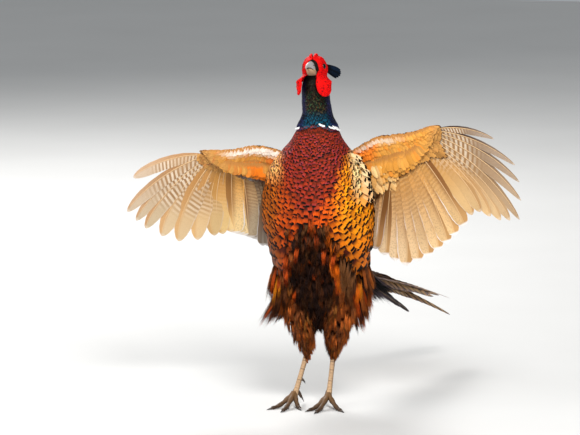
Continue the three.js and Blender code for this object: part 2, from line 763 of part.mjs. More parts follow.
// Ear tuft: a few blunt feathers fanned from one short root
function tuftSolid(side) {
  const out = side > 0 ? [25, -14, -12] : [6, -26, -8];
  const root = new THREE.Vector3(side * TUFT_ROOT.x, -TUFT_ROOT.p, TUFT_ROOT.q);
  const reach = new THREE.Vector3(side * out[0], -out[1], out[2]);
  const pieces = [];
  const across = new THREE.Vector3(0, 0.35, 1).cross(reach).cross(reach).normalize();
  for (let k = 0; k < TUFT_FEATHERS; k += 1) {
    const fan = k / (TUFT_FEATHERS - 1) - 0.5;
    const tip = root.clone().addScaledVector(reach, 1 - 0.5 * fan * fan).addScaledVector(across, fan * 13);
    const start = root.clone().addScaledVector(across, fan * 5);
    const line = new THREE.LineCurve3(start, tip.add(new THREE.Vector3(side * (k % 2) * 0.8, 0, 0)));
    pieces.push(vane(line, across, 8, TUFT_SHAPE, [3.4, 1.6]));
  }
  return union(pieces.map(onHead));
}

// Repeatable draws for the small differences between one lock and the next
function seededDraw(seed) {
  let state = seed;
  return (low, high) => {
    state = (state * 16807) % 2147483647;
    return low + ((high - low) * state) / 2147483647;
  };
}

// Loose feather locks that hang from the flanks, belly and vent of the torso
function torsoLocks(grow = 0) {
  const draw = seededDraw(41);
  const sectionAt = sectionReader(TORSO);
  return LOCK_ROWS.flatMap(({ level, bearings, length, flare, width }) => bearings.map((degrees) => {
    const section = sectionAt(level);
    const angle = THREE.MathUtils.degToRad(degrees + draw(-4, 4));
    const depth = (section.front + section.back) / 2;
    const out = new THREE.Vector3(Math.cos(angle), -Math.sin(angle), 0);
    const side = new THREE.Vector3(-section.half * Math.sin(angle), -depth * Math.cos(angle), 0).normalize();
    const skin = new THREE.Vector3(
      section.mid + section.half * out.x,
      -(section.front - section.back) / 2 + depth * out.y,
      level + draw(-5, 5),
    );
    const reach = length * draw(0.88, 1.12);
    const root = skin.clone().addScaledVector(out, -9);
    const middle = skin.clone().addScaledVector(out, flare * 0.8).add(new THREE.Vector3(0, 0, -reach * 0.45));
    const tip = skin.clone().addScaledVector(out, flare * draw(0.8, 1.1)).addScaledVector(side, draw(-5, 5));
    tip.z -= reach;
    return vane(new THREE.QuadraticBezierCurve3(root, middle, tip), side, width, LOCK_SHAPE, LOCK_THICK, grow);
  }));
}

// Shaggy locks down the thigh towards the ankle
function thighLocks(leg, seed) {
  const draw = seededDraw(seed);
  const [ankle, knee] = [vec(leg.ankle), vec(leg.knee)];
  const locks = [];
  for (const [t, radius, count] of THIGH_ROWS) {
    for (let k = 0; k < count; k += 1) {
      const angle = (2 * Math.PI * (k + (t > 0.5 ? 0.5 : 0))) / count;
      const out = new THREE.Vector3(Math.cos(angle), Math.sin(angle), 0);
      const side = new THREE.Vector3(-out.y, out.x, 0);
      const core = ankle.clone().lerp(knee, t);
      const root = core.clone().addScaledVector(out, radius * 0.7);
      const low = ankle.clone().lerp(knee, Math.max(t - 0.42, -0.02) + draw(0, 0.06));
      const tip = low.addScaledVector(out, radius * 0.45 + draw(4, 8)).addScaledVector(side, draw(-3, 3));
      tip.z = Math.max(tip.z, SOCK_LEVEL + 3);
      const middle = root.clone().lerp(tip, 0.5).addScaledVector(out, radius * 0.35 + 3);
      const line = new THREE.QuadraticBezierCurve3(root, middle, tip);
      locks.push(vane(line, side, 7 + radius * 0.55, LOCK_SHAPE, LOCK_THICK));
    }
  }
  return locks;
}

// Overlapping plates down the front of the shank, each raised at its lower edge
function shankScutes(leg) {
  const curve = shankCurve(leg);
  const front = new THREE.Vector3(0, -1, 0);
  return stepsBetween(0.16, 0.78, SCUTES - 1).map((t) => {
    const upper = curve.getPoint(t + 0.05).addScaledVector(front, SHANK_RADIUS - 0.5);
    const lower = curve.getPoint(t - 0.045).addScaledVector(front, SHANK_RADIUS + 0.9);
    const across = new THREE.Vector3(1, 0, 0);
    return vane(new THREE.LineCurve3(upper, lower), across, 6.2, [[0, 0.85], [1, 1]], [1.2, 1]);
  });
}

// Spur: a short pointed cone on the inner back of the shank
function spurGeometry(leg, side) {
  const root = shankCurve(leg).getPoint(0.4);
  const away = new THREE.Vector3(-side * 0.75, 0.66, 0).normalize();
  const middle = root.clone().addScaledVector(away, SHANK_RADIUS + 6).add(new THREE.Vector3(0, 0, -1));
  const tip = root.clone().addScaledVector(away, SHANK_RADIUS + 12).add(new THREE.Vector3(0, 0, 1.5));
  const line = new THREE.QuadraticBezierCurve3(root.addScaledVector(away, 2), middle, tip);
  return tube(line, (t) => 3 - 2.6 * t, 3, 6);
}

// Rounded pad below the toe joint
function padGeometry(leg) {
  const pad = new THREE.SphereGeometry(1, 8, 6);
  pad.scale(6.5, 8, 6.4);
  pad.translate(leg.toeJoint[0], leg.toeJoint[1], 4.8);
  return pad;
}

function material(color, roughness, metalness = 0) {
  return new THREE.MeshStandardMaterial({ color, roughness, metalness });
}

const looks = {
  breast: material('#8a2f1c', 0.55),
  neck: material('#0f2a2c', 0.35),
  face: material('#c8141c', 0.6),
  bill: material('#c9bfa4', 0.45),
  eye: material('#1a0d08', 0.08),
  underwing: material('#b98a57', 0.65),
  tail: material('#8a6b45', 0.65),
  thigh: material('#5a2c16', 0.75),
  leg: material('#9c8878', 0.6),
  claw: material('#3a302a', 0.45),
};

const pheasant = new THREE.Group();

function add(name, body, look) {
  const mesh = new THREE.Mesh(largest(body), look);
  mesh.name = name;
  pheasant.add(mesh);
}

const torsoRoom = union([torsoGeometry(GAP), ...torsoLocks(GAP)]);
const headRoom = solid(skullGeometry(GAP));
const neckRoom = solid(neckGeometry(GAP));
const floorBlock = solid(slab(-60, 0));

add('torso', union([torsoGeometry(), ...torsoLocks()]), looks.breast);
add('neck', solid(neckGeometry()).subtract(headRoom), looks.neck);

const eyeRooms = wasm.Manifold.union([solid(eyeGeometry(1, GAP)), solid(eyeGeometry(-1, GAP))]);
add('head', solid(skullGeometry()).subtract(eyeRooms), looks.neck);
const nostrils = union([nostrilGeometry(1), nostrilGeometry(-1)]);
add('bill_upper', solid(billHalf(true)).subtract(nostrils), looks.bill);
add('bill_lower', solid(billHalf(false)), looks.bill);

for (const [name, side] of [['left', 1], ['right', -1]]) {
  const leg = LEGS[name];
  add(`eye_${name}`, solid(eyeGeometry(side)), looks.eye);
  const billRoom = wasm.Manifold.union([solid(billHalf(true)), solid(billHalf(false))]);
  const faceBody = solid(faceGeometry(side, LOBE_TURN[name]))
    .subtract(headRoom).subtract(neckRoom).subtract(eyeRooms).subtract(billRoom)
    .subtract(solid(otherHalf(side)));
  add(`face_${name}`, faceBody, looks.face);
  const tuft = tuftSolid(side).subtract(headRoom).subtract(neckRoom);
  add(`ear_tuft_${name}`, tuft.subtract(solid(faceGeometry(side, LOBE_TURN[name]))), looks.neck);

  const wing = wingSolid(WINGS[name]).subtract(torsoRoom);
  add(`wing_${name}`, wing, looks.underwing);

  const sockCut = solid(slab(-60, SOCK_LEVEL));
  const thigh = union([thighCore(leg), ...thighLocks(leg, 97 + side)]).subtract(torsoRoom).subtract(sockCut);
  add(`thigh_${name}`, thigh, looks.thigh);
  const footTop = 17;
  const shank = union([shankGeometry(leg), ...shankScutes(leg)])
    .subtract(solid(slab(SOCK_LEVEL - GAP, 200)))
    .subtract(solid(slab(-60, footTop + GAP)));
  add(`shank_${name}`, shank, looks.leg);
  add(`spur_${name}`, solid(spurGeometry(leg, side)).subtract(solid(shankGeometry(leg, GAP))), looks.claw);

  const tips = Object.entries(TOE_TIPS[name]);
  const toes = tips.map(([, tip]) => toeGeometry(leg.toeJoint, tip));
  const hind = hindToeCurve(leg, side);
  const shankFoot = solid(shankGeometry(leg)).subtract(solid(slab(footTop, 200)));
  const foot = union([...toes, padGeometry(leg)]).add(shankFoot).subtract(floorBlock);
  add(`foot_${name}`, foot, looks.leg);
  for (const [toe, tip] of tips) {
    const claw = solid(clawGeometry(toeCurve(leg.toeJoint, tip), 2.2)).subtract(floorBlock);
    add(`claw_${toe}_${name}`, claw, looks.claw);
  }
  const hindToe = tube(hind, (t) => 3.6 - 1.4 * t, 4, 6);
  add(`hind_toe_${name}`, solid(hindToe).subtract(solid(shankGeometry(leg, GAP))), looks.leg);
  add(`claw_hind_${name}`, solid(clawGeometry(hind, 2)), looks.claw);
}

add('tail', tailSolid().subtract(torsoRoom), looks.tail);

// The origin stands on the floor below the middle of the whole bird
const reach = new THREE.Box3().setFromObject(pheasant, true);
pheasant.position.set(-(reach.min.x + reach.max.x) / 2, -(reach.min.y + reach.max.y) / 2, 0);

const model = new THREE.Group();
model.add(pheasant);

export default model;
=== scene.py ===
"""Looks of a cock common pheasant that stands upright with its wings spread.

Lengths are millimetres in the bird's own frame until a mesh is made: x to the bird's
left, y towards its back, z up, with the origin on the floor between its feet.
"""

import math
from functools import partial

import bmesh
import bpy
import numpy as np
from mathutils import Matrix, Vector


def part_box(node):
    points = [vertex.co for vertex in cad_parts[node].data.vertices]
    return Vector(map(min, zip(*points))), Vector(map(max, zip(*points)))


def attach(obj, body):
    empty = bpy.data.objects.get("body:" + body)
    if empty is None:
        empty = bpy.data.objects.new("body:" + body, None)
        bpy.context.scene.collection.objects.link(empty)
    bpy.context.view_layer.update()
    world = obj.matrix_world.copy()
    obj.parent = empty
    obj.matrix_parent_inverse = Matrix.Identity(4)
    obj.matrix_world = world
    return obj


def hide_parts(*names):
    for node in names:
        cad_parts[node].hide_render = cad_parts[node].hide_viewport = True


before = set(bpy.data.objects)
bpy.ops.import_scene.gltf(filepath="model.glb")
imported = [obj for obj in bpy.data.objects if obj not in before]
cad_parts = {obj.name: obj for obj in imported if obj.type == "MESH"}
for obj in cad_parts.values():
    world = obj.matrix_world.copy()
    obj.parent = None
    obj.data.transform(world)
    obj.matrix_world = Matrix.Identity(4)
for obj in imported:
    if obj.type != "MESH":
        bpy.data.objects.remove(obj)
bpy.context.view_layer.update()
rng = np.random.default_rng(7)

# Level sections of the body from the vent to the throat: height, middle across,
# half width, reach to the front and reach to the back
BODY = [
    (133, 11, 12, -20, 38), (142, 12, 34, -4, 54), (160, 13, 52, 18, 68),
    (184, 14, 65, 38, 80), (214, 15, 73, 56, 87), (248, 14, 80, 72, 88),
    (281, 13, 86, 83, 85), (315, 12, 91, 89, 80), (348, 12, 92, 90, 72),
    (381, 11, 87, 86, 62), (407, 11, 78, 80, 52), (430, 11, 61, 72, 40),
    (450, 12, 46, 64, 28), (470, 13, 36, 55, 17), (479, 13.3, 32.5, 54, 11),
    (487, 13.5, 28.6, 52.5, 6), (496, 13.5, 26, 51, 3), (517, 12, 24.5, 51, -3),
    (540, 11, 23, 50, -5), (560, 10, 17, 42, -10),
]
NECK_BASE = (13.0, -19.0)
COAT_DEPTH = 4.5
NECK_COAT_DEPTH = 1.9
BREASTBONE = 6   # degrees from straight ahead

# Head: its own frame has the bill along -y, tipped up and leaned to one side. Places in it
# are x across, p ahead and q up; skull sections are p, half width, top and bottom.
HEAD_AT = (10, -30, 569)
HEAD_PITCH = math.radians(-19)
HEAD_ROLL = math.radians(-4)
SKULL = [
    (-27, 3, 3, -3), (-25, 10, 9, -10), (-18, 16, 15.5, -18), (-8, 18.5, 19.5, -22),
    (2, 17.8, 20, -22), (10, 15.5, 17.5, -19), (17, 11.8, 12.5, -14.5), (23, 9, 7.5, -11),
]
BILL_START = 19
BILL_LENGTH = 29
BILL_HALF = 7.1
BILL_TURN = 0.14
BILL_DROP = 2.6
MOUTH_LEVEL = -6.4
MOUTH_GAPE = 1.3
EYE_X, EYE_P, EYE_Q, EYE_RADIUS = 14.9, 5, 3, 5.4
EYE_SHIFT = (2.0, -2.4)
EYE_SINK = {"left": 0, "right": 1.5}
PUPIL_TURN = math.radians(38)
# Red face: degrees about the eye from straight ahead, and reach
FACE_OUTLINE = [
    (0, 14.5), (35, 16), (65, 19), (95, 20), (125, 17), (155, 13), (180, 13), (205, 17),
    (226, 24), (238, 31), (251, 45), (266, 53), (280, 51), (296, 32), (310, 17),
    (330, 14.5), (360, 14.5),
]
LOBE_SIZE = {"left": 1.0, "right": 0.92}
LOBE_TURN = {"left": 44, "right": 16}
TUFT_ROOT = (14, -12, 5)
TUFT_REACH = {"left": (24, -14, -14), "right": (6, -26, -8)}
TUFT_FEATHERS = 40

# Legs
LEGS = {
    "left": {"toe_joint": (25, 12, 12), "ankle": (30.5, 30, 92), "knee": (49, -8, 184)},
    "right": {"toe_joint": (-33, 12, 12), "ankle": (-13, 30, 92), "knee": (-23, -8, 184)},
}
SOCK_LEVEL = 80
SHANK_RADIUS = 3.9
TOE_TIPS = {
    "left": {"inner": (-4, -38), "middle": (14, -52), "outer": (60, -30)},
    "right": {"inner": (-12, -28), "middle": (-42, -52), "outer": (-69, -34)},
}
TOE_RADIUS = 4.8
CLAW_LENGTH = 12
SPUR_AWAY = {"left": (-0.2, 0.98, 0), "right": (0.75, 0.66, 0)}
LOWEST_HORN = 0.05

# Wings, both as if on the bird's left; fan rows are feather number, degrees below
# level, reach from the wrist and depth of the tip
WINGS = {
    "left": {
        "mirror": 1, "shoulder": (58, 14, 412), "elbow": (112, 26, 405),
        "wrist": (162, 0, 447), "finger": (207, -8, 471),
        "lead": [(52, 6, 424), (101, 2, 453), (130, -1, 460), (165, -5, 466),
                 (196, -9, 476), (214, -10, 477)],
        "fan": [(0, 1, 144, -30), (1, 14, 184, -28), (4, 36, 229, -20), (6, 42, 206, -12),
                (8.5, 48, 165, -4), (11, 66, 184, 6), (16, 92, 222, 12), (19, 107, 207, 22),
                (21, 112, 196, 60), (23, 117, 180, 84)],
    },
    "right": {
        "mirror": -1, "shoulder": (34, 14, 408), "elbow": (82, 34, 392),
        "wrist": (134, 6, 412), "finger": (181, 2, 415),
        "lead": [(30, 8, 418), (70, 4, 432), (100, 4, 434), (134, 2, 427),
                 (164, 0, 425), (190, -2, 423)],
        "fan": [(0, 18, 177, 5), (1, 32, 212, 8), (3, 43, 206, 15), (5, 59, 190, 30),
                (7, 75, 160, 50), (9, 84, 150, 62), (12, 92, 156, 70), (15, 101, 168, 76),
                (19, 108, 180, 84), (23, 114, 178, 92)],
    },
}
PRIMARIES = 10
FLIGHT_FEATHERS = 23
# Flight feather number and width
FLIGHT_WIDTHS = {
    "left": [(0, 13.5), (1, 15), (2, 17), (3, 19), (4, 21), (6, 25), (10, 30), (23, 31)],
    "right": [(0, 21), (2, 23), (3, 27), (4, 34), (9, 34), (10, 34), (23, 34)],
}
# Under coverts: flight feather number and how far along it they reach
COVERT_REACH = {
    "left": [(0, 0.09), (4, 0.14), (6, 0.3), (9, 0.28), (12, 0.2), (18, 0.22), (23, 0.26)],
    "right": [(0, 0.1), (3, 0.15), (6, 0.19), (10, 0.2), (15, 0.14), (19, 0.12), (23, 0.12)],
}

# Tail
TAIL_ROOT = (10, 60, 226)
TAIL_TIP = (137, 480, 107)

# Camera: seen from the bird's front left and a little above, from far off
CAMERA_TURN, CAMERA_RISE = math.radians(12), math.radians(9)
CAMERA_DISTANCE = 8000.0
PIXEL_SIZE = 1.65
IMAGE_SIZE = (580, 435)
FEET_PIXEL = (312, 408)
SENSOR_WIDTH = 36

# Lamps: place, aim, size in metres and power
LAMPS = {
    "key": ((1000, -2500, 2500), (0, 0, 300), 1.1, 122),
    "fill": ((-2500, -1900, 1300), (0, 0, 300), 2.2, 46),
    "rim": ((-1400, 2300, 2300), (0, 0, 350), 1.2, 90),
}
FLOOR_REACH = 6000


# Numbers and curves

class Profile:
    """Smooth curve through pairs of place and value."""

    def __init__(self, pairs):
        self.x, self.y = np.array(sorted(pairs), float).T
        steps = np.diff(self.y) / np.diff(self.x)
        wide = (self.y[2:] - self.y[:-2]) / (self.x[2:] - self.x[:-2])
        self.slope = np.concatenate([steps[:1], wide, steps[-1:]])

    def __call__(self, at):
        at = np.asarray(at, float)
        i = np.clip(np.searchsorted(self.x, at) - 1, 0, len(self.x) - 2)
        span = self.x[i + 1] - self.x[i]
        t = np.clip((at - self.x[i]) / span, 0, 1)
        ease = t * t * (3 - 2 * t)
        bend = span * t * (1 - t) * ((1 - t) * self.slope[i] - t * self.slope[i + 1])
        return self.y[i] + (self.y[i + 1] - self.y[i]) * ease + bend


class Line:
    """Smooth line through points in space, read from 0 to 1."""

    def __init__(self, points):
        self.points = np.array(points, float)

    def __call__(self, t):
        p = self.points
        last = len(p) - 1
        at = np.clip(np.asarray(t, float), 0, 1) * last
        i = np.clip(at.astype(int), 0, last - 1)
        f = (at - i)[..., None]
        p1, p2 = p[i], p[i + 1]
        p0 = np.where((i > 0)[..., None], p[np.maximum(i - 1, 0)], 2 * p1 - p2)
        p3 = np.where((i < last - 1)[..., None], p[np.minimum(i + 2, last)], 2 * p2 - p1)
        return 0.5 * (2 * p1 + (p2 - p0) * f + (2 * p0 - 5 * p1 + 4 * p2 - p3) * f ** 2
                      + (3 * p1 - p0 - 3 * p2 + p3) * f ** 3)

    def along(self, t, step=1e-3):
        t = np.asarray(t, float)
        return unit(self(np.minimum(t + step, 1)) - self(np.maximum(t - step, 0)))


class Arc:
    """Line bent through one control point, read from 0 to 1."""

    def __init__(self, start, control, end):
        self.ends = [np.array(p, float) for p in (start, control, end)]

    def __call__(self, t):
        t = np.asarray(t, float)[..., None]
        a, b, c = self.ends
        return a * (1 - t) ** 2 + b * 2 * t * (1 - t) + c * t ** 2

    def along(self, t):
        t = np.asarray(t, float)[..., None]
        a, b, c = self.ends
        return unit((b - a) * (1 - t) + (c - b) * t)


def columns(table):
    """Smooth curves by a table's first value, one for each of its other columns."""
    return [Profile([(row[0], row[k]) for row in table]) for k in range(1, len(table[0]))]


def vector(place):
    return np.array(place, float)


def unit(v):
    v = np.asarray(v, float)
    return v / np.maximum(np.linalg.norm(v, axis=-1, keepdims=True), 1e-9)


def smooth(value, low, high):
    """Share from 0 to 1 of the way from low to high, eased at both ends."""
    t = np.clip((np.asarray(value, float) - low) / (high - low), 0, 1)
    return t * t * (3 - 2 * t)


def spread(low, high, count):
    """Repeatable random draws between two numbers."""
    return rng.uniform(low, high, count)


def turns(count):
    """Angles of one full turn in even steps."""
    return np.linspace(0, 2 * np.pi, count, endpoint=False)


def srgb(code):
    """Linear colour of a hex code."""
    c = np.array([int(code[i:i + 2], 16) for i in (1, 3, 5)]) / 255
    return np.where(c <= 0.04045, c / 12.92, ((c + 0.055) / 1.055) ** 2.4)


def mix(a, b, share):
    share = np.asarray(share, float)[..., None]
    return a * (1 - share) + b * share


def marked(colour, mark=1.0):
    """Colours with a fourth value, such as the strength of a mark."""
    mark = np.broadcast_to(mark, colour.shape[:-1])
    return np.concatenate([colour, mark[..., None]], -1)


def on_map(share, rim=0.01):
    """Place on the map of a bake, clear of its rim, from a share of its size."""
    return rim + (1 - 2 * rim) * share


def round_map(angle):
    """Place across the map from an angle round a body."""
    return on_map(angle % (2 * np.pi) / (2 * np.pi))


def spot(across, up):
    """Place on the map from shares across and up."""
    return np.stack(np.broadcast_arrays(across, up), -1)


def staggered(levels, girth, size, least):
    """Rows of places round a body, every second row turned by half a step."""
    at, angle = [], []
    for k, level in enumerate(levels):
        count = max(least, int(girth(level) / size))
        at.append(np.full(count, level))
        angle.append((np.arange(count) + 0.5 * (k % 2)) / count * 2 * np.pi)
    return np.concatenate(at), np.concatenate(angle)


# From the bird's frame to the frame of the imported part
neck_low, neck_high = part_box("neck")
neck_middle = (neck_low + neck_high) / 2
SHIFT = np.array([neck_middle.x - NECK_BASE[0] / 1000, neck_middle.y - NECK_BASE[1] / 1000, 0])


def placed(points):
    return np.asarray(points, float) / 1000 + SHIFT


# Meshes

def mesh_object(name, points, faces):
    """Object from points in the bird's frame and faces that have equal corner counts."""
    faces = np.asarray(faces, np.int32)
    corners = faces.shape[1]
    mesh = bpy.data.meshes.new(name)
    mesh.vertices.add(len(points))
    mesh.vertices.foreach_set("co", placed(points).astype(np.float32).ravel())
    mesh.loops.add(faces.size)
    mesh.loops.foreach_set("vertex_index", faces.ravel())
    mesh.polygons.add(len(faces))
    mesh.polygons.foreach_set("loop_start", np.arange(0, faces.size, corners, dtype=np.int32))
    mesh.polygons.foreach_set("use_smooth", np.full(len(faces), True))
    mesh.update(calc_edges=True)
    piece = bpy.data.objects.new(name, mesh)
    bpy.context.scene.collection.objects.link(piece)
    return piece


def set_tint(mesh, tint):
    layer = mesh.attributes.new("tint", "FLOAT_COLOR", "POINT")
    layer.data.foreach_set("color", np.asarray(tint, np.float32).ravel())


def set_vane(mesh, vane):
    layer = mesh.attributes.new("vane", "FLOAT_VECTOR", "POINT")
    layer.data.foreach_set("vector", np.asarray(vane, np.float32).ravel())


def paint_all(piece, code):
    """One colour for the whole of a piece."""
    set_tint(piece.data, np.tile([*srgb(code), 1.0], (len(piece.data.vertices), 1)))


def places_of(mesh):
    """Points of a mesh in the bird's frame."""
    places = np.empty(len(mesh.vertices) * 3, np.float32)
    mesh.vertices.foreach_get("co", places)
    return (places.reshape(-1, 3) - SHIFT) * 1000


def set_map(mesh, uv):
    """Map for a bake, from one place for each vertex."""
    index = np.empty(len(mesh.loops), np.int32)
    mesh.loops.foreach_get("vertex_index", index)
    layer = mesh.uv_layers.new(name="OFBake")
    layer.data.foreach_set("uv", np.asarray(uv, np.float32)[index].ravel())


def sharpen(mesh, rim):
    """Marks the edges between two points of a feather's rim as sharp."""
    ends = np.empty(len(mesh.edges) * 2, np.int32)
    mesh.edges.foreach_get("vertices", ends)
    layer = mesh.attributes.new("sharp_edge", "BOOLEAN", "EDGE")
    layer.data.foreach_set("value", rim[ends].reshape(-1, 2).all(1))


def finished(piece, material, slot, *nodes):
    """Gives a piece its material and body, and hides the solids it stands for; slot is not used."""
    piece.data.materials.clear()
    piece.data.materials.append(material)
    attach(piece, "root")
    if nodes:
        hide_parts(*nodes)
    return piece


def quads(index):
    """Corners of the quads between the rows and columns of a grid of point numbers."""
    corners = np.stack([index[:-1, :-1], index[:-1, 1:], index[1:, 1:], index[1:, :-1]], -1)
    return corners.reshape(-1, 4)


def ring_faces(rows, sides):
    """Quads of rows of points, each row closed on itself."""
    index = np.arange(rows * sides).reshape(rows, sides)
    return quads(np.concatenate([index, index[:, :1]], axis=1))


def closed_loft(rings):
    """Points and quads of a closed body through rings; the end rings shrink to a point."""
    rings = np.asarray(rings, float)
    start = np.broadcast_to(rings[0].mean(0), rings[0].shape)
    end = np.broadcast_to(rings[-1].mean(0), rings[-1].shape)
    rings = np.concatenate([start[None], rings, end[None]])
    return rings.reshape(-1, 3), ring_faces(*rings.shape[:2])


def joined(name, bodies):
    """One object of several bodies, each points and quads."""
    starts = np.cumsum([0] + [len(points) for points, _ in bodies])
    faces = [faces + start for (_, faces), start in zip(bodies, starts)]
    points = np.concatenate([points for points, _ in bodies])
    piece = mesh_object(name, points, np.concatenate(faces))
    weld(piece)
    return piece


def weld(piece):
    """Merges the points that shrink together at the ends of a loft, and turns faces out."""
    work = bmesh.new()
    work.from_mesh(piece.data)
    bmesh.ops.remove_doubles(work, verts=work.verts, dist=1e-6)
    bmesh.ops.recalc_face_normals(work, faces=work.faces)
    work.to_mesh(piece.data)
    work.free()


def rings_round(centre, across, other, reach, sides):
    """Rings about each centre, in the plane of two ways; reach is by ring and side."""
    angle = turns(sides)[None, :, None]
    return (centre[:, None] + across[:, None] * np.cos(angle) * reach
            + other[:, None] * np.sin(angle) * reach)


def tube_rings(line, radius, steps, sides):
    """Rings round a line, with a radius by the place along it and the angle round it."""
    t = np.linspace(0, 1, steps)
    along = line.along(t)
    across = np.empty_like(along)
    guide = np.array([1.0, 0, 0]) if abs(along[0][0]) < 0.9 else np.array([0, 1.0, 0])
    for i, direction in enumerate(along):
        guide = unit(guide - direction * guide.dot(direction))
        across[i] = guide
    reach = radius(t[:, None], turns(sides)[None, :])[..., None]
    return rings_round(line(t), across, np.cross(along, across), reach, sides)


# Feathers

class Plume:
    """One feather as a closed thin sheet: t along it, s across it, w its half outline."""

    def __init__(self, outline, rows, wide, shaft=0.0, crisp=True):
        t, s = np.asarray(rows, float), np.linspace(-1, 1, wide)
        count = len(t)
        top = np.arange(count * wide).reshape(count, wide)
        low = top.copy()
        inside = np.arange((count - 2) * (wide - 2)).reshape(count - 2, wide - 2)
        low[1:-1, 1:-1] = count * wide + inside
        self.faces = np.concatenate([quads(top), quads(low)[:, ::-1]])
        inner = np.zeros((count, wide), bool)
        inner[1:-1, 1:-1] = True
        keep = inner.ravel()
        self.rim = np.concatenate([~keep & crisp, np.zeros(keep.sum(), bool)])
        along, across = np.repeat(t, wide), np.tile(s, count)
        self.t = np.concatenate([along, along[keep]])
        self.s = np.concatenate([across, across[keep]])
        self.side = np.concatenate([keep * 1.0, -np.ones(keep.sum())])
        self.w = Profile(outline)(self.t)
        self.x = np.where(self.s < 0, shaft + self.s * (1 + shaft), shaft + self.s * (1 - shaft))


def column(value, count):
    return np.broadcast_to(np.asarray(value, float), (count,))[:, None]


def grow(plume, root, along, up, length, width, lift=0.0, droop=0.0, cup=0.0, sway=0.0,
         thick=0.35):
    """Points of one feather at each root, lying along its own direction."""
    count = len(root)
    along = unit(along)
    across = unit(np.cross(along, up))
    up = np.cross(across, along)
    length, width = column(length, count), column(width, count)
    y = length * plume.t
    x = width / 2 * plume.w * plume.x + column(sway, count) * length * plume.t ** 2
    rise = column(lift, count) * plume.t + column(droop, count) * plume.t ** 2
    z = length * rise - column(cup, count) * width / 2 * (plume.w * plume.x) ** 2
    z = z + column(thick, count) / 2 * plume.side
    return (root[:, None] + across[:, None] * x[..., None] + along[:, None] * y[..., None]
            + up[:, None] * z[..., None])


class Coat:
    """Feathers gathered for one piece, with their colours and bake places."""

    def __init__(self):
        self.parts = []

    def add(self, plume, points, tint, place, patch=(0.003, 0.003), mirror=1, tip=None):
        """tint is red, green, blue and mark for each feather, or for each of its points; tip
        is a second colour for its end; place is its spot on the map."""
        count = len(points)
        tint, place = np.asarray(tint, float), np.asarray(place, float)
        if tint.ndim == 2:
            tint = np.repeat(tint[:, None], len(plume.t), axis=1)
        if tip is not None:
            tint[..., :3] = mix(tint[..., :3], np.asarray(tip, float)[:, None],
                                smooth(plume.t, 0.55, 0.85))
        faces = plume.faces if mirror > 0 else plume.faces[:, ::-1]
        if mirror < 0:
            points = points * np.array([-1.0, 1, 1])
        vane = np.empty((count, len(plume.t), 3))
        vane[..., 0] = plume.s
        vane[..., 1] = plume.t
        vane[..., 2] = rng.random(count)[:, None]
        offset = spot(plume.s / 2 * patch[0], (plume.t - 0.5) * patch[1])
        uv = place[:, None] + offset[None]
        self.parts.append((points, faces, tint, vane, uv, np.tile(plume.rim, count)))

    def build(self, name, material, slot, *nodes):
        points, faces, colours, vanes, uvs, rims = [], [], [], [], [], []
        offset = 0
        for part_points, part_faces, colour, vane, uv, rim in self.parts:
            count, each = part_points.shape[:2]
            starts = offset + np.arange(count) * each
            faces.append((starts[:, None, None] + part_faces[None]).reshape(-1, 4))
            points.append(part_points.reshape(-1, 3))
            colours.append(colour.reshape(-1, 4))
            vanes.append(vane.reshape(-1, 3))
            uvs.append(uv.reshape(-1, 2))
            rims.append(rim)
            offset += count * each
        piece = mesh_object(name, np.concatenate(points), np.concatenate(faces))
        set_tint(piece.data, np.concatenate(colours))
        set_vane(piece.data, np.concatenate(vanes))
        set_map(piece.data, np.concatenate(uvs))
        sharpen(piece.data, np.concatenate(rims))
        return finished(piece, material, slot, *nodes)


ROUND_TIP = [(0, 0.45), (0.35, 0.85), (0.6, 1), (0.76, 0.98), (0.87, 0.84), (0.95, 0.54), (1, 0.14)]
BLUNT_TIP = [(0, 0.45), (0.35, 0.85), (0.6, 1), (0.8, 1), (0.9, 0.94), (0.96, 0.8), (1, 0.5)]
SCALE_PLUME = Plume(BLUNT_TIP, [0, 0.35, 0.6, 0.76, 0.87, 0.94, 0.98, 1], 5)
SMALL_PLUME = Plume(ROUND_TIP, [0, 0.4, 0.68, 0.86, 0.96, 1], 3)
STRAND_PLUME = Plume([(0, 0.7), (0.45, 1), (1, 0.06)], [0, 0.45, 1], 3, crisp=False)
COVERT_PLUME = Plume([(0, 0.4), (0.3, 0.85), (0.55, 1), (0.75, 0.93), (0.88, 0.7), (0.96, 0.4),
                      (1, 0.14)], [0, 0.2, 0.42, 0.62, 0.78, 0.9, 0.97, 1], 5)
FLIGHT_ROWS = list(np.linspace(0, 0.86, 20)) + [0.89, 0.92, 0.945, 0.965, 0.982, 0.994, 1]
FLIGHT_OUTLINE = [(0, 0.3), (0.1, 0.52), (0.25, 0.78), (0.45, 0.95), (0.65, 1), (0.86, 0.98),
                  (0.93, 0.84), (0.965, 0.66), (0.99, 0.36), (1, 0.1)]
POINTED_OUTLINE = [(0, 0.3), (0.1, 0.55), (0.25, 0.85), (0.42, 1), (0.6, 0.97), (0.76, 0.8),
                   (0.9, 0.5), (0.97, 0.26), (1, 0.06)]
PRIMARY_OUTLINE = [(0, 0.3), (0.1, 0.52), (0.25, 0.8), (0.45, 0.97), (0.62, 1), (0.8, 0.9),
                   (0.9, 0.7), (0.95, 0.5), (0.985, 0.28), (1, 0.06)]
PRIMARY_PLUME = Plume(PRIMARY_OUTLINE, FLIGHT_ROWS, 11, shaft=-0.42)
SECONDARY_PLUME = Plume(FLIGHT_OUTLINE, FLIGHT_ROWS, 11, shaft=-0.15)
POINTED_PLUME = Plume(POINTED_OUTLINE, FLIGHT_ROWS, 11, shaft=-0.5)
TAIL_OUTLINE = [(0, 0.8), (0.2, 1), (0.5, 0.9), (0.8, 0.54), (0.95, 0.32), (1, 0.14)]
TAIL_PLUME = Plume(TAIL_OUTLINE, list(np.linspace(0, 1, 40)), 7)
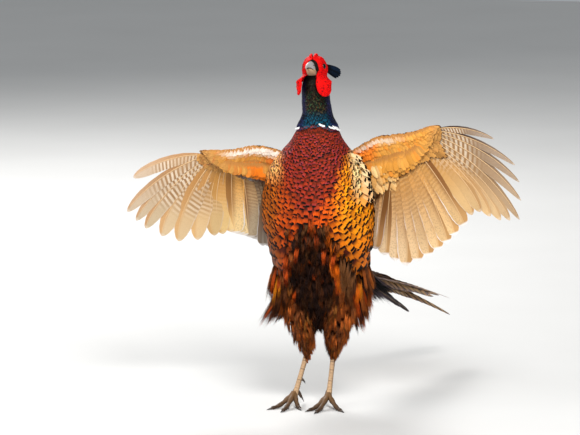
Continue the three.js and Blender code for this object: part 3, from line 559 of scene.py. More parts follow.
HOOKED_OUTLINE = [(0, 0.7), (0.3, 1), (0.7, 0.95), (0.9, 0.85), (0.97, 0.6), (1, 0.25)]
HOOKED_PLUME = Plume(HOOKED_OUTLINE, list(np.linspace(0, 1, 30)), 7)


# Materials

BLACK = (0.0, 0.0, 0.0)


class Nodes:
    """Short hand for a material's node tree."""

    def __init__(self, name):
        self.material = bpy.data.materials.new(name)
        self.material.use_nodes = True
        self.tree = self.material.node_tree
        self.shader = self.tree.nodes["Principled BSDF"]

    def node(self, kind, **settings):
        made = self.tree.nodes.new(kind)
        for key, value in settings.items():
            setattr(made, key, value)
        return made

    def feed(self, socket, value):
        if isinstance(value, bpy.types.NodeSocket):
            self.tree.links.new(value, socket)
        elif isinstance(value, (tuple, list, np.ndarray)) and len(value) == 3 and len(
                getattr(socket, "default_value", [0] * 3)) == 4:
            socket.default_value = (*value, 1)
        else:
            socket.default_value = value

    def math(self, operation, a, b=0.0, c=0.0):
        made = self.node("ShaderNodeMath", operation=operation)
        for socket, value in zip(made.inputs, (a, b, c)):
            self.feed(socket, value)
        return made.outputs[0]

    def times(self, a, b):
        return self.math("MULTIPLY", a, b)

    def ramp(self, value, low, high, out_low=0.0, out_high=1.0):
        """Value mapped smoothly from one range to another, held at its ends."""
        made = self.node("ShaderNodeMapRange", interpolation_type="SMOOTHSTEP")
        for socket, number in zip(made.inputs, (value, low, high, out_low, out_high)):
            self.feed(socket, number)
        return made.outputs[0]

    def blend(self, share, a, b, kind="MIX"):
        made = self.node("ShaderNodeMix", data_type="RGBA", blend_type=kind)
        self.feed(made.inputs[0], share)
        self.feed(made.inputs[6], a)
        self.feed(made.inputs[7], b)
        return made.outputs[2]

    def attribute(self, name):
        return self.node("ShaderNodeAttribute", attribute_name=name)

    def texture(self, kind, scale):
        """Texture node that follows the object's own space."""
        made = self.node(kind)
        made.inputs["Scale"].default_value = scale
        self.feed(made.inputs["Vector"], self.node("ShaderNodeTexCoord").outputs["Object"])
        return made

    def noise(self, scale, detail):
        made = self.texture("ShaderNodeTexNoise", scale)
        made.inputs["Detail"].default_value = detail
        return made.outputs["Fac"]

    def cells(self, scale):
        """How far each place is from the middle of its cell, for many small cells."""
        return self.texture("ShaderNodeTexVoronoi", scale).outputs["Distance"]

    def bump(self, height, strength, distance):
        made = self.node("ShaderNodeBump")
        made.inputs["Strength"].default_value = strength
        made.inputs["Distance"].default_value = distance
        self.feed(made.inputs["Height"], height)
        self.feed(self.shader.inputs["Normal"], made.outputs[0])

    def set(self, **values):
        for name, value in values.items():
            self.feed(self.shader.inputs[name.replace("_", " ")], value)
        return self.material


def vane_parts(nodes):
    """Place across and along a feather, and its own random number."""
    split = nodes.node("ShaderNodeSeparateXYZ")
    nodes.feed(split.inputs[0], nodes.attribute("vane").outputs["Vector"])
    across, along, own = split.outputs
    return across, nodes.math("ABSOLUTE", across), along, own


def barbs(nodes, across, along, density):
    """Fine slanted lines of a feather's web, from 0 to 1."""
    slant = nodes.math("MULTIPLY_ADD", across, -0.35, along)
    wave = nodes.math("SINE", nodes.math("MULTIPLY", slant, density))
    return nodes.math("MULTIPLY_ADD", wave, 0.5, 0.5)


def feather_material(name, mark, density, roughness, root, metallic=0.0, mark_depth=0.1,
                     shaft=0.25, bare=0.55, gloss=0.18, ink=0.25):
    """Short feathers: tinted web, darker root that is partly the feather's own base and partly
    painted shade under the overlapping feathers, fine barbs and a marked tip.
    """
    nodes = Nodes(name)
    _, aside, along, _ = vane_parts(nodes)
    tint = nodes.attribute("tint")
    lines = barbs(nodes, aside, along, density)
    # Root colour: partly the feather's own darker base, partly painted shade where the next feathers
    # overlap it.
    web = nodes.blend(nodes.ramp(along, bare - 0.35, bare), srgb(root), tint.outputs["Color"])
    web = nodes.blend(nodes.times(lines, ink), web, BLACK)
    web = nodes.blend(nodes.ramp(nodes.noise(900, 2), 0.45, 0.8, 0, 0.3), web, srgb(root))
    web = nodes.blend(nodes.ramp(aside, 0.0, 0.12, shaft, 0.0), web, BLACK)
    notch = nodes.ramp(aside, 0.6, 0.95, 1.0, 0.3)
    depth = nodes.times(nodes.times(tint.outputs["Alpha"], mark_depth), notch)
    start = nodes.math("SUBTRACT", 1.0, depth)
    tip = nodes.ramp(nodes.math("SUBTRACT", along, start), -0.012, 0.012)
    tip = nodes.times(tip, nodes.ramp(tint.outputs["Alpha"], 0.02, 0.12))
    web = nodes.blend(tip, web, srgb(mark))
    nodes.bump(lines, 0.35, 0.0004)
    return nodes.set(Base_Color=web, Roughness=roughness, Metallic=metallic,
                     Specular_IOR_Level=gloss)


def strand_material(name):
    """Loose hair-like strands: tint with darker roots, partly painted shade where they overlap, ends
    brightened as painted light, and streaks.
    """
    nodes = Nodes(name)
    _, aside, along, _ = vane_parts(nodes)
    tint = nodes.attribute("tint").outputs["Color"]
    # Darker roots: partly the strands' own base, partly painted shade where they overlap.
    web = nodes.blend(nodes.ramp(along, 0.0, 0.6, 0.45, 0.0), tint, srgb("#1c0f08"))
    # Painted light: the tint added again brightens the ends as if lit.
    web = nodes.blend(nodes.ramp(along, 0.6, 1.0, 0.0, 0.35), web, tint, "ADD")
    lines = barbs(nodes, aside, along, 60.0)
    web = nodes.blend(nodes.times(lines, 0.2), web, BLACK)
    nodes.bump(lines, 0.3, 0.0004)
    return nodes.set(Base_Color=web, Roughness=0.6, Specular_IOR_Level=0.15)


def flight_material(name, bars, light, dark, rim, rim_share, bar_end, both_webs=False,
                    speckle=0.0, wander=0.018):
    """Long feathers: one or both webs barred, pale rim, fine barbs and a plain leading web."""
    nodes = Nodes(name)
    across, aside, along, own = vane_parts(nodes)
    tint = nodes.attribute("tint")
    wobble = nodes.noise(60, 2)
    place = nodes.math("MULTIPLY_ADD", aside, -0.035, along)
    place = nodes.math("MULTIPLY_ADD", wobble, wander, place)
    place = nodes.math("MULTIPLY_ADD", own, 0.05, place)
    wave = nodes.math("SINE", nodes.times(place, bars * 2 * math.pi))
    web = nodes.blend(nodes.ramp(wave, -0.7, 0.6), srgb(dark), srgb(light))
    inner = nodes.ramp(aside, 0.0, 0.1) if both_webs else nodes.ramp(across, 0.02, 0.2)
    share = nodes.times(inner, tint.outputs["Alpha"])
    share = nodes.times(share, nodes.ramp(along, bar_end - 0.22, bar_end, 1, 0))
    share = nodes.times(share, nodes.ramp(nodes.noise(40, 2), 0.36, 0.6, 0.5, 1))
    colour = nodes.blend(share, tint.outputs["Color"], web)
    if speckle:
        spots = nodes.times(nodes.ramp(nodes.noise(420, 2), 0.52, 0.6), speckle)
        colour = nodes.blend(nodes.times(spots, inner), colour, srgb("#8c6c50"))
    pale = nodes.math("MAXIMUM", nodes.ramp(aside, 0.88, 0.97), nodes.ramp(along, 0.965, 0.985))
    pale = nodes.times(pale, nodes.ramp(along, 0.5, 0.8))
    colour = nodes.blend(nodes.times(pale, rim_share), colour, srgb(rim))
    lines = barbs(nodes, aside, along, 420.0)
    colour = nodes.blend(nodes.times(lines, 0.12), colour, (0.1, 0.06, 0.04))
    # Soft brown patches from a coarse noise that spans several feathers.
    soft_brown_patches = nodes.ramp(nodes.noise(14, 4), 0.4, 0.75, 0, 0.22)
    colour = nodes.blend(soft_brown_patches, colour, srgb("#8a6844"))
    nodes.bump(lines, 0.3, 0.0003)
    return nodes.set(Base_Color=colour, Roughness=0.55, Specular_IOR_Level=0.2)


def skin_material():
    """Skin under the coat, which carries the coat's own markings, darkened by nearly half as painted
    shade of the gaps between feathers.
    """
    nodes = Nodes("skin")
    tint = nodes.attribute("tint").outputs["Color"]
    # Painted shade: the coat's colours darkened where the skin shows between feathers.
    colour = nodes.blend(0.45, tint, (0.01, 0.006, 0.004))
    nodes.bump(nodes.noise(500, 4), 0.5, 0.001)
    return nodes.set(Base_Color=colour, Roughness=0.8, Specular_IOR_Level=0.1)


def wattle_material():
    """Red facial skin with papillae, darker red between them as painted shade in the hollows, and
    dark specks below the eye.
    """
    nodes = Nodes("wattle")
    hollow = nodes.ramp(nodes.cells(620), 0.25, 0.75)
    # Painted shade: darker red in the hollows between the papillae.
    colour = nodes.blend(hollow, srgb("#f40404"), srgb("#a80408"))
    colour = nodes.blend(nodes.ramp(nodes.noise(70, 3), 0.4, 0.75, 0, 0.4), colour, srgb("#fc140a"))
    speck = nodes.ramp(nodes.cells(190), 0.18, 0.3, 0.9, 0)
    below = nodes.attribute("tint").outputs["Alpha"]
    colour = nodes.blend(nodes.times(speck, below), colour, srgb("#3a060a"))
    nodes.bump(nodes.math("SUBTRACT", 1.0, hollow), 0.7, 0.0007)
    return nodes.set(Base_Color=colour, Roughness=0.6, Specular_IOR_Level=0.08)


def horn_material(name, base, tip, roughness):
    """Tinted horn with faint streaks."""
    nodes = Nodes(name)
    tint = nodes.attribute("tint").outputs["Color"]
    streaks = nodes.ramp(nodes.noise(260, 4), 0.35, 0.7, 0, 0.35)
    colour = nodes.blend(0.65, nodes.blend(streaks, srgb(base), srgb(tip)), tint)
    nodes.bump(nodes.noise(700, 3), 0.15, 0.0004)
    return nodes.set(Base_Color=colour, Roughness=roughness)


def scale_material():
    """Horny scales of the legs, with grooves painted dark as shade between the plates, and dust."""
    nodes = Nodes("leg_scale")
    tint = nodes.attribute("tint")
    # Painted shade: the grooves between the plates are darkened.
    groove = nodes.ramp(tint.outputs["Alpha"], 0.15, 0.55)
    colour = nodes.blend(groove, srgb("#2c221c"), tint.outputs["Color"])
    dust = nodes.ramp(nodes.noise(240, 5), 0.45, 0.75, 0, 0.45)
    colour = nodes.blend(dust, colour, srgb("#6e5a4c"))
    nodes.bump(nodes.noise(900, 3), 0.25, 0.0005)
    return nodes.set(Base_Color=colour, Roughness=0.55, Specular_IOR_Level=0.25)


def eye_material():
    """Dark pupil, brown iris and a wet surface."""
    nodes = Nodes("eye")
    tint = nodes.attribute("tint").outputs["Color"]
    fibre = nodes.ramp(nodes.noise(1500, 3), 0.4, 0.7, 0, 0.3)
    return nodes.set(Base_Color=nodes.blend(fibre, tint, BLACK), Roughness=0.3,
                     Coat_Weight=0.35, Coat_Roughness=0.03, Specular_IOR_Level=0.1)


BREAST = feather_material("breast_feather", "#040303", density=70, roughness=0.48, metallic=0.1,
                          root="#4a180a", mark_depth=0.12, bare=0.66, ink=0.16, gloss=0.1)
SPRAY = feather_material("spray_feather", "#040303", density=90, roughness=0.55, root="#c08438",
                         mark_depth=0.13, bare=0.5, shaft=0.1, ink=0.14, gloss=0.1)
NECK_LOOK = feather_material("neck_feather", "#030304", density=30, roughness=0.36, metallic=0.3,
                             root="#070708", bare=0.62, gloss=0.1)
TUFT_LOOK = feather_material("ear_feather", "#030304", density=60, roughness=0.7, root="#030303",
                             gloss=0.05)
RING = feather_material("ring_feather", "#c8c8c8", density=30, roughness=0.5, root="#e8e8e4",
                        shaft=0.0, ink=0.1)
# Covert tips: partly the feathers' own dark edges, partly painted shadow lines between rows.
COVERT = feather_material("covert_feather", "#5c3c20", density=200, roughness=0.6, mark_depth=0.06,
                          root="#b87c3c", shaft=0.08, ink=0.12)
STRAND = strand_material("loose_strand")
PRIMARY = flight_material("primary_vane", 20, "#e0ceb6", "#946c44", "#dccebc", 0.4, speckle=0.08,
                          bar_end=0.8)
SECONDARY = flight_material("secondary_vane", 24, "#ecc88c", "#8e5c2c", "#f2f0ee", 0.85,
                            bar_end=0.75, speckle=0.3, wander=0.06)
TAIL = flight_material("tail_vane", 13, "#d4a874", "#3c2a20", "#94848e", 0.75, bar_end=1.3,
                       both_webs=True)
SKIN = skin_material()
WATTLE = wattle_material()
BILL = horn_material("bill_horn", "#b0a698", "#8c7e6c", 0.45)
CLAW = horn_material("claw_horn", "#3a302a", "#16110e", 0.3)
SCALE = scale_material()
EYE = eye_material()
SHAFT = horn_material("feather_shaft", "#d8b888", "#b08a5c", 0.4)


# Body surface

body_mid, body_half, body_front, body_back = columns(BODY)
SQUARENESS = 0.92


def body_centre(z):
    """How far back the middle of a level section lies."""
    return (body_back(z) - body_front(z)) / 2


def body_point(z, bearing, out=0.0):
    """Place on the body at a height and a bearing: 0 the bird's left, 90 degrees its front."""
    def rounded(v):
        return np.sign(v) * np.abs(v) ** SQUARENESS
    depth = (body_front(z) + body_back(z)) / 2 + out
    x = body_mid(z) + (body_half(z) + out) * rounded(np.cos(bearing))
    y = body_centre(z) - depth * rounded(np.sin(bearing))
    return np.stack([x, y, z + np.zeros_like(x)], -1)


def body_axes(z, bearing, step=1.0, turn=0.01):
    """Way down the coat and way out of the body."""
    down = unit(body_point(z - step, bearing) - body_point(z + step, bearing))
    level = unit(body_point(z, bearing + turn) - body_point(z, bearing - turn))
    out = unit(np.cross(down, level))
    middle = np.stack([body_mid(z), body_centre(z), z + 0 * bearing], -1)
    inward = np.sum(out * (body_point(z, bearing) - middle), -1) < 0
    return down, np.where(inward[..., None], -out, out)


def facing(bearing):
    """Degrees from straight ahead, positive to the bird's left."""
    return (90 - np.degrees(bearing) + 180) % 360 - 180


def toward(degrees):
    """Bearing of a number of degrees from straight ahead."""
    return np.radians(90 - degrees)


# PINK is painted iridescent sheen for the breast's feather ends.
MAROON, PINK, COPPER = srgb("#90220c"), srgb("#b04470"), srgb("#b8420e")
EMBER, ORANGE, GOLD, CREAM = srgb("#d04e08"), srgb("#e0700c"), srgb("#f48e10"), srgb("#ffe2a4")
BELLY, UMBER, CHESTNUT = srgb("#2a130a"), srgb("#5c3014"), srgb("#964c1a")
FLAME, AMBER, OLIVE = srgb("#c04a0a"), srgb("#ea6e0a"), srgb("#7c4c26")
MANTLE, RUMP = srgb("#a8601c"), srgb("#5a4a38")
TEAL, BOTTLE, INDIGO, SOOT, WHITE = (srgb("#033c50"), srgb("#1c1a10"), srgb("#15163a"),
                                     srgb("#0c0806"), srgb("#fbfbfa"))
# GLINT, MOSS, BRASS and VIOLET are painted iridescent sheen for the neck's feather ends.
GLINT, MOSS, BRASS, VIOLET = srgb("#066078"), srgb("#1e6242"), srgb("#5c4426"), srgb("#26245c")
THROAT = 10   # degrees from straight ahead

# Maroon patch of the breast by height: its middle and half width, across the camera's view
patch_middle = Profile([(300, -7), (345, -7), (395, -3), (418, 0), (443, 8), (480, 10)])
patch_half = Profile([(290, 1), (318, 4), (335, 10), (360, 25), (393, 40), (418, 51), (443, 74),
                      (460, 95)])


def seen_across(z, bearing):
    """Distance to the bird's left as the camera sees it."""
    place = body_point(z, bearing)
    return place[..., 0] * math.cos(CAMERA_TURN) + place[..., 1] * math.sin(CAMERA_TURN)


def left_breast(z, u):
    """Gold of the bird's left side, cream at the shoulder; u is how far left it is seen."""
    colour = mix(EMBER, GOLD, smooth(u, 16, 52))
    colour = mix(colour, FLAME, smooth(320 - z, 0, 60) * 0.5)
    return mix(colour, CREAM, smooth(z, 345, 378) * smooth(u, 52, 70) * 0.8)


def right_breast(z, u):
    """Its right side, ember and orange darkened as painted shade, golden at the shoulder and
    chestnut below, also darkened as painted shade.
    """
    # Painted shade: ember, orange and chestnut are darker copies on this side than on the left.
    colour = mix(EMBER * 0.66, ORANGE * 0.55, smooth(-u, 40, 62))
    colour = mix(colour, mix(GOLD, CREAM, 0.3), smooth(z, 375, 405) * smooth(-u, 38, 58) * 0.9)
    return mix(colour, CHESTNUT * 0.7, smooth(310 - z, 0, 50) * smooth(-u, 35, 60) * 0.85)


def middle_breast(z, a):
    """Maroon patch, with copper and then flame lower down."""
    ripple = 0.5 + 0.5 * np.sin(a * 0.23 + z * 0.03)
    colour = mix(MAROON, COPPER, 0.2 + 0.4 * smooth(420 - z, 0, 90) * ripple)
    return mix(colour, FLAME, 0.6 * smooth(362 - z, 0, 38))


def mantle_tint(z):
    """Back of the bird, from its shoulders down to the rump."""
    colour = mix(RUMP, MANTLE, smooth(z, 290, 350))
    return mix(colour, mix(MAROON, UMBER, 0.5), smooth(270 - z, 0, 40))


def body_mark(z, a, off):
    """Strength of the dark marks at the feather tips: none on the neck, weak at the vent."""
    mark = 1.5 - 0.2 * smooth(off, 0.6, 1.1) + 0.35 * smooth(z, 400, 440)
    return np.where(z > neck_line(a), 0.0, mark * (1 - 0.8 * smooth(215 - z, 0, 30)))


def body_tint(z, bearing):
    """Colour and tip mark of the coat at a place on the body."""
    a = facing(bearing)
    u = seen_across(z, bearing)
    half = patch_half(z)
    off = np.abs(u - patch_middle(z))
    sides = mix(right_breast(z, u), left_breast(z, u), smooth(u, -12, 16))
    ragged = 3.5 * np.sin(z * 0.33) + 3 * np.sin(z * 0.71 + a * 0.3)
    colour = mix(middle_breast(z, a), sides, smooth(off + ragged, half * 0.75, half * 1.15 + 4))
    flank = smooth(np.abs(a - BREASTBONE), 50, 80)
    colour = mix(colour, FLAME, smooth(238 - z, 0, 34) * (1 - 0.6 * flank))
    colour = mix(colour, CHESTNUT, smooth(212 - z, 0, 30) * 0.8)
    colour = mix(colour, mantle_tint(z), smooth(np.abs(a), 100, 130))
    neck = smooth(z, neck_line(a) - 1, neck_line(a) + 1)
    return marked(mix(colour, neck_tint(z, a), neck), body_mark(z, a, off / half))


def neck_line(a):
    """Height where the breast's coat meets the neck's."""
    return 478 - 7 * smooth(np.abs(a - BREASTBONE), 10, 60)


def neck_tint(z, a):
    colour = mix(TEAL, BOTTLE, smooth(z, 492, 505))
    colour = mix(colour, SOOT, smooth(z, 515, 540) * 0.85)
    return mix(colour, INDIGO, smooth(np.abs(a - THROAT), 34, 64) * 0.85)


# Pieces of the broken white ring: degrees from ahead and height of both ends, and feathers
RING_PIECES = [(13, 480, 28, 476.5, 9), (43, 475, 84, 468, 17), (58, 475, 84, 471, 7),
               (84, 467, 128, 466, 20), (-46, 472, -80, 468, 14), (-80, 468, -125, 466, 18)]


def build_ring():
    """Broken white ring at the foot of the neck."""
    coat = Coat()
    for start_a, start_z, end_a, end_z, count in RING_PIECES:
        share = (np.arange(count) + 0.5) / count
        z = start_z + (end_z - start_z) * share + spread(-0.6, 0.6, count) + 1.5
        bearing = toward(start_a + (end_a - start_a) * share)
        down, out = body_axes(z, bearing)
        way = down + unit(np.gradient(body_point(z, bearing), axis=0)) * 0.9
        points = grow(SMALL_PLUME, body_point(z, bearing, -1.0), way, out,
                      spread(3.2, 4.6, count), 2.3, lift=0.28, droop=-0.2, cup=0.28)
        coat.add(SMALL_PLUME, points, np.tile([*WHITE, 0.0], (count, 1)), body_place(z, bearing))
    coat.build("ring_coat", RING, "neck_feathers")


def neck_tip(z, bearing, _):
    """Painted iridescent sheen and glints of the neck's feather ends."""
    chance = rng.random(len(z))
    throat = mix(SOOT, BRASS, smooth(chance, 0.0, 0.5))
    throat = mix(throat, MOSS, smooth(chance, 0.45, 0.95) * 0.85)
    gloss = mix(mix(GLINT, TEAL, 0.2 + chance * 0.7), throat, smooth(z, 491, 503))
    gloss = mix(gloss, VIOLET, smooth(np.abs(facing(bearing) - THROAT), 30, 60))
    return mix(gloss, SOOT, smooth(z, 516, 540) * 0.75)


MAP_LOW, MAP_HEIGHT = 125, 450


def body_place(z, bearing):
    """Spot of a place on the body on an unwrap round it."""
    return spot(round_map(bearing), on_map((z - MAP_LOW) / MAP_HEIGHT))


row_height = Profile([(130, 11), (190, 12), (250, 10.6), (300, 8.8), (350, 6.6), (400, 4.8),
                      (440, 4.0), (470, 3.5), (486, 2.9), (520, 2.5), (560, 2.4)])
side_rise = Profile([(120, 0), (180, 0), (300, 26), (380, 40), (470, 4), (480, 0), (570, 0)])


def feather_size(z, bearing):
    flank = smooth(np.abs(facing(bearing) - BREASTBONE), 25, 75) * smooth(450 - z, 0, 80)
    return row_height(z) * (1 + 0.25 * flank)


def coat_rows(z_low, z_high):
    """Heights and bearings of feather roots in staggered rows that rise to the sides."""
    z = z_high
    heights, bearings = [], []
    fine = np.linspace(-180, 180, 721)
    while z > z_low:
        size = feather_size(z + 0 * fine, toward(fine))
        girth = np.pi * (body_half(z) + (body_front(z) + body_back(z)) / 2)
        density = girth / 360 / (size * 1.12)
        total = np.concatenate([[0], np.cumsum((density[1:] + density[:-1]) / 2 * np.diff(fine))])
        count = max(8, int(total[-1]))
        place = np.arange(count) + 0.5 * (len(heights) % 2)
        a = np.interp(place / count * total[-1], total, fine)
        rise = side_rise(z) * (1 - np.cos(np.radians(np.minimum(np.abs(a - BREASTBONE), 90))))
        heights.append(z + rise)
        bearings.append(toward(a))
        down, _ = body_axes(np.array([z]), np.array([np.pi / 2]))
        z -= float(row_height(z)) * max(0.35, abs(float(down[0][2])))
    z, bearing = np.concatenate(heights), np.concatenate(bearings)
    size = row_height(z)
    z = z + spread(-0.24, 0.24, len(z)) * size
    bearing = bearing + spread(-0.24, 0.24, len(z)) * size / (body_half(z) + 5)
    return z, bearing


def aside(out, way, most):
    """Random small turns at right angles to two ways."""
    return np.cross(out, way) * spread(-most, most, len(way))[:, None]


def flow(z, bearing):
    """Way the coat lies: down, and outwards over the breast."""
    down, out = body_axes(z, bearing)
    a = facing(bearing) - BREASTBONE
    most = np.where(a > 0, 58, 46)
    level = smooth(478 - z, 0, 60) * (0.35 + 0.65 * smooth(z, 220, 330))
    turn = most * level * smooth(np.abs(a), 0, 36) * (1 - smooth(np.abs(a), 95, 140))
    outward = np.cross(out, down)
    outward = np.where((outward[..., 0] * a < 0)[..., None], -outward, outward)
    turn = np.radians(turn)[..., None]
    return down * np.cos(turn) + outward * np.sin(turn), out


def lay_scales(coat, z, bearing, plume, tip, lift=0.19, wide=1.62, long=2.7, depth=COAT_DEPTH):
    """Shingled feathers over the body, coloured as the place below their middle."""
    way, out = flow(z, bearing)
    size = feather_size(z, bearing)
    root = body_point(z, bearing, -depth)
    way = way + aside(out, way, 0.22)
    out = unit(out + aside(out, way, 0.25))
    seen = z - size * 1.2
    tint = body_tint(seen, bearing)
    shade = 1 + spread(-0.35, 0.3, len(z))
    tint[:, :3] *= shade[:, None]
    tint[:, 3] *= spread(0.8, 1.15, len(z))
    length = size * long * spread(0.92, 1.1, len(z))
    points = grow(plume, root, way, out, length, size * wide,
                  lift=lift + spread(-0.03, 0.09, len(z)), droop=-0.16, cup=0.3, thick=0.3)
    coat.add(plume, points, tint, body_place(z, bearing), tip=tip(seen, bearing, tint))


def breast_tip(z, bearing, tint):
    """Painted iridescent sheen of the breast's feather ends, pink over the middle, and a painted
    highlight that makes them paler on the flanks.
    """
    off = np.abs(seen_across(z, bearing) - patch_middle(z)) / patch_half(z)
    # Painted sheen: pink laid into the colour of the ends over the middle.
    pink = 0.24 + 0.3 * smooth(z, 370, 440)
    pink = pink * smooth(1.1 - off, 0, 0.5) * smooth(z, 318, 360) * rng.random(len(z)) ** 1.5
    # Painted highlight: brighter ends on the flanks.
    pale = smooth(off, 0.8, 1.4) * smooth(z, 260, 330) * 0.7
    return mix(mix(tint[:, :3], PINK, pink), np.minimum(tint[:, :3] * 1.35, 0.95), pale)


BELLY_MIDDLE = 1   # degrees from straight ahead
BELLY_TOP = 334


def in_belly(z, bearing):
    """Ragged patch of loose coat at the middle of the belly."""
    a = facing(bearing) - BELLY_MIDDLE
    ragged = 5 * np.sin(z * 0.21) + 4 * np.sin(z * 0.47 + a * 0.2) + 4 * np.sin(a * 0.31)
    top = BELLY_TOP - 0.6 * np.abs(a) - 14 * smooth(-a, 6, 18)
    return (z + 1.3 * ragged < top) & (np.abs(a) + ragged < 17 + (BELLY_TOP - z) * 0.13)


def build_breast_coat():
    """Scale-like feathers of breast and back, down to where the loose flank coat starts."""
    z, bearing = coat_rows(140, 484)
    a = facing(bearing)
    hem = np.where(a > BREASTBONE, 242, 210)
    keep = ~(in_belly(z, bearing) | (z < hem) | on_shoulder(z, a)) & (z < neck_line(a) - 1)
    z, bearing, a = z[keep], bearing[keep], a[keep]
    behind = np.abs(a) >= 95
    for name, part in (("breast_coat_left", (a > BREASTBONE) & ~behind),
                       ("breast_coat_right", (a <= BREASTBONE) & ~behind), ("back_coat", behind)):
        coat = Coat()
        lay_scales(coat, z[part], bearing[part], SCALE_PLUME, breast_tip)
        coat.build(name, BREAST, "breast_feathers")


def build_neck_coat():
    coat = Coat()
    z, bearing = coat_rows(473, 557)
    keep = z > neck_line(facing(bearing)) + 1.5
    lay_scales(coat, z[keep], bearing[keep], SMALL_PLUME, neck_tip, lift=0.14, wide=1.3, long=2.4,
               depth=NECK_COAT_DEPTH)
    coat.build("neck_coat", NECK_LOOK, "neck_feathers", "neck")


def locks(coat, root, way, out, length, width, tint, place, per, lift, fine, point=0.2,
          varied=0.3):
    """Pointed locks, each of several strands that start side by side and end close together."""
    count = len(root)
    way, out = unit(way), unit(out)
    across = unit(np.cross(way, out))
    length, width = column(length, count), column(width, count)
    u = rng.uniform(-1, 1, (count, per))
    v = rng.random((count, per)) * 0.3
    reach = (1 - 0.22 * np.abs(u) ** 1.5) * rng.uniform(0.82, 1.05, (count, per))
    deep = rng.uniform(-1, 1, (count, per)) * 0.06
    start = (root[:, None] + across[:, None] * (u * width / 2)[..., None]
             + way[:, None] * (v * length)[..., None])
    end = (root[:, None] + way[:, None] * (reach * length)[..., None]
           + across[:, None] * (u * width / 2 * point)[..., None]
           + out[:, None] * ((lift + deep) * length)[..., None])
    along = (end - start).reshape(-1, 3)
    span = np.linalg.norm(along, axis=1)
    shade = rng.uniform(1 - varied, 1 + varied, (count, per))
    colours = marked(tint[:, None] * shade[..., None], 0.0).reshape(-1, 4)
    total = count * per
    points = grow(STRAND_PLUME, start.reshape(-1, 3), along, np.repeat(out, per, axis=0), span,
                  spread(0.7, 1.3, total) * fine, lift=0.06, droop=-0.08,
                  sway=spread(-0.1, 0.1, total), cup=0.3, thick=0.35)
    coat.add(STRAND_PLUME, points, colours, np.repeat(place, per, axis=0))


def pick(chance, colours, count):
    """Colours drawn for each of a number of locks, by chance."""
    index = rng.choice(len(colours), count, p=np.array(chance) / sum(chance))
    return np.array(colours)[index]


def build_belly_coat():
    """Loose dark locks of the belly, with orange ones at its rim."""
    coat = Coat()
    count = 640
    z = spread(150, 338, count)
    bearing = toward(BELLY_MIDDLE + spread(-52, 52, count))
    keep = in_belly(z - 4, bearing)
    z, bearing = z[keep], bearing[keep]
    count = len(z)
    a = facing(bearing)
    down, out = body_axes(z, bearing)
    way = unit(down + [0, 0, -0.5]) + aside(out, down, 0.25)
    tint = pick((5, 4, 0.8, 0.8), (BELLY * 1.2, UMBER * 0.8, OLIVE * 0.7, CHESTNUT * 0.7), count)
    below = BELLY_TOP - 2 - z
    rim = smooth(np.abs(a - BELLY_MIDDLE), 8 + below * 0.08, 17 + below * 0.12)
    rim = np.maximum(rim, smooth(z, 300, 322)) * smooth(z, 205, 240)
    hot = pick((3, 2, 2), (FLAME, CHESTNUT, AMBER * 0.8), count)
    tint = mix(tint, hot, rim * (rng.random(count) < np.where(a > 0, 0.6, 0.25)))
    root = body_point(z, bearing, -COAT_DEPTH)
    locks(coat, root, way, out, spread(24, 38, count), spread(7, 13, count), tint,
          body_place(z, bearing), per=26, lift=0.16, fine=1.15)
    coat.build("belly_coat", STRAND, "breast_feathers", "torso")


# Rows of locks on each flank: height, degrees from the breastbone at both ends, and step
FLANK_ROWS = [
    (246, 66, 180, 8), (232, 58, 180, 8), (222, 44, 180, 8), (212, 38, 180, 7),
    (200, 50, 180, 6.2), (188, 58, 180, 6), (176, 66, 180, 7), (160, 86, 180, 10),
]
# Bright loose feathers of the flank: height, degrees from ahead, length, width and colour
FLANK_TUFTS = [
    (275, 24, 30, 9, FLAME), (266, 22, 34, 9, AMBER), (262, 27, 40, 12, AMBER),
    (250, 31, 44, 12, AMBER), (240, 27, 38, 10, FLAME), (272, 35, 46, 13, OLIVE),
    (266, 39, 52, 18, OLIVE), (258, 43, 54, 20, OLIVE), (248, 48, 54, 20, OLIVE),
    (238, 53, 50, 18, UMBER), (226, 60, 44, 15, AMBER), (222, 66, 36, 11, AMBER),
    (246, 36, 34, 9, CHESTNUT), (222, 36, 40, 12, CHESTNUT),
    (270, -26, 34, 9, FLAME), (250, -32, 38, 10, FLAME), (236, -40, 34, 10, CHESTNUT),
    (222, -62, 34, 9, GOLD), (228, -50, 40, 12, FLAME), (282, 14, 28, 8, FLAME),
    (284, -12, 30, 8, FLAME), (276, -20, 30, 8, CHESTNUT),
]


def lay_flank(coat):
    """Locks that hang from the flanks to a ragged hem, flared on the right."""
    places = []
    for z, low, high, step in FLANK_ROWS:
        for side in (-1, 1):
            a = np.arange(low, high, step)
            a = a + spread(-2.5, 2.5, len(a))
            places += [(z + spread(-5, 5, 1)[0], side * value) for value in a]
    z, a = np.array(places).T
    bearing = toward(a + BREASTBONE)
    count = len(z)
    down, out = body_axes(z, bearing)
    level = unit(out * np.array([1, 1, 0]))
    flare = np.where(a < 0, 0.14 + 0.4 * smooth(222 - z, 0, 24), 0.2)
    flare = flare * smooth(np.abs(a), 40, 70) * spread(0.6, 1.4, count)
    way = level * flare[:, None] - [0, 0, 1.0] + aside(out, down, 0.18)
    tint = pick((3, 3, 1.8, 0.7), (CHESTNUT * 1.2, UMBER * 1.3, FLAME, BELLY), count)
    tint = mix(tint, GOLD * 0.8, (rng.random(count) < 0.22) * smooth(z, 215, 235))
    root = body_point(z, bearing, -COAT_DEPTH)
    hem = np.where(a < 0, 133, 126) + 40 * smooth(75 - np.abs(a), 0, 30) + spread(-7, 7, count)
    most = 52 + 18 * smooth(-a, 50, 70) * smooth(125 + a, 0, 20)
    locks(coat, root, way, out, np.clip(z - hem, 16, most) * spread(0.85, 1.1, count),
          spread(10, 17, count), tint, body_place(z, bearing), per=36, lift=0.06, fine=1.35)


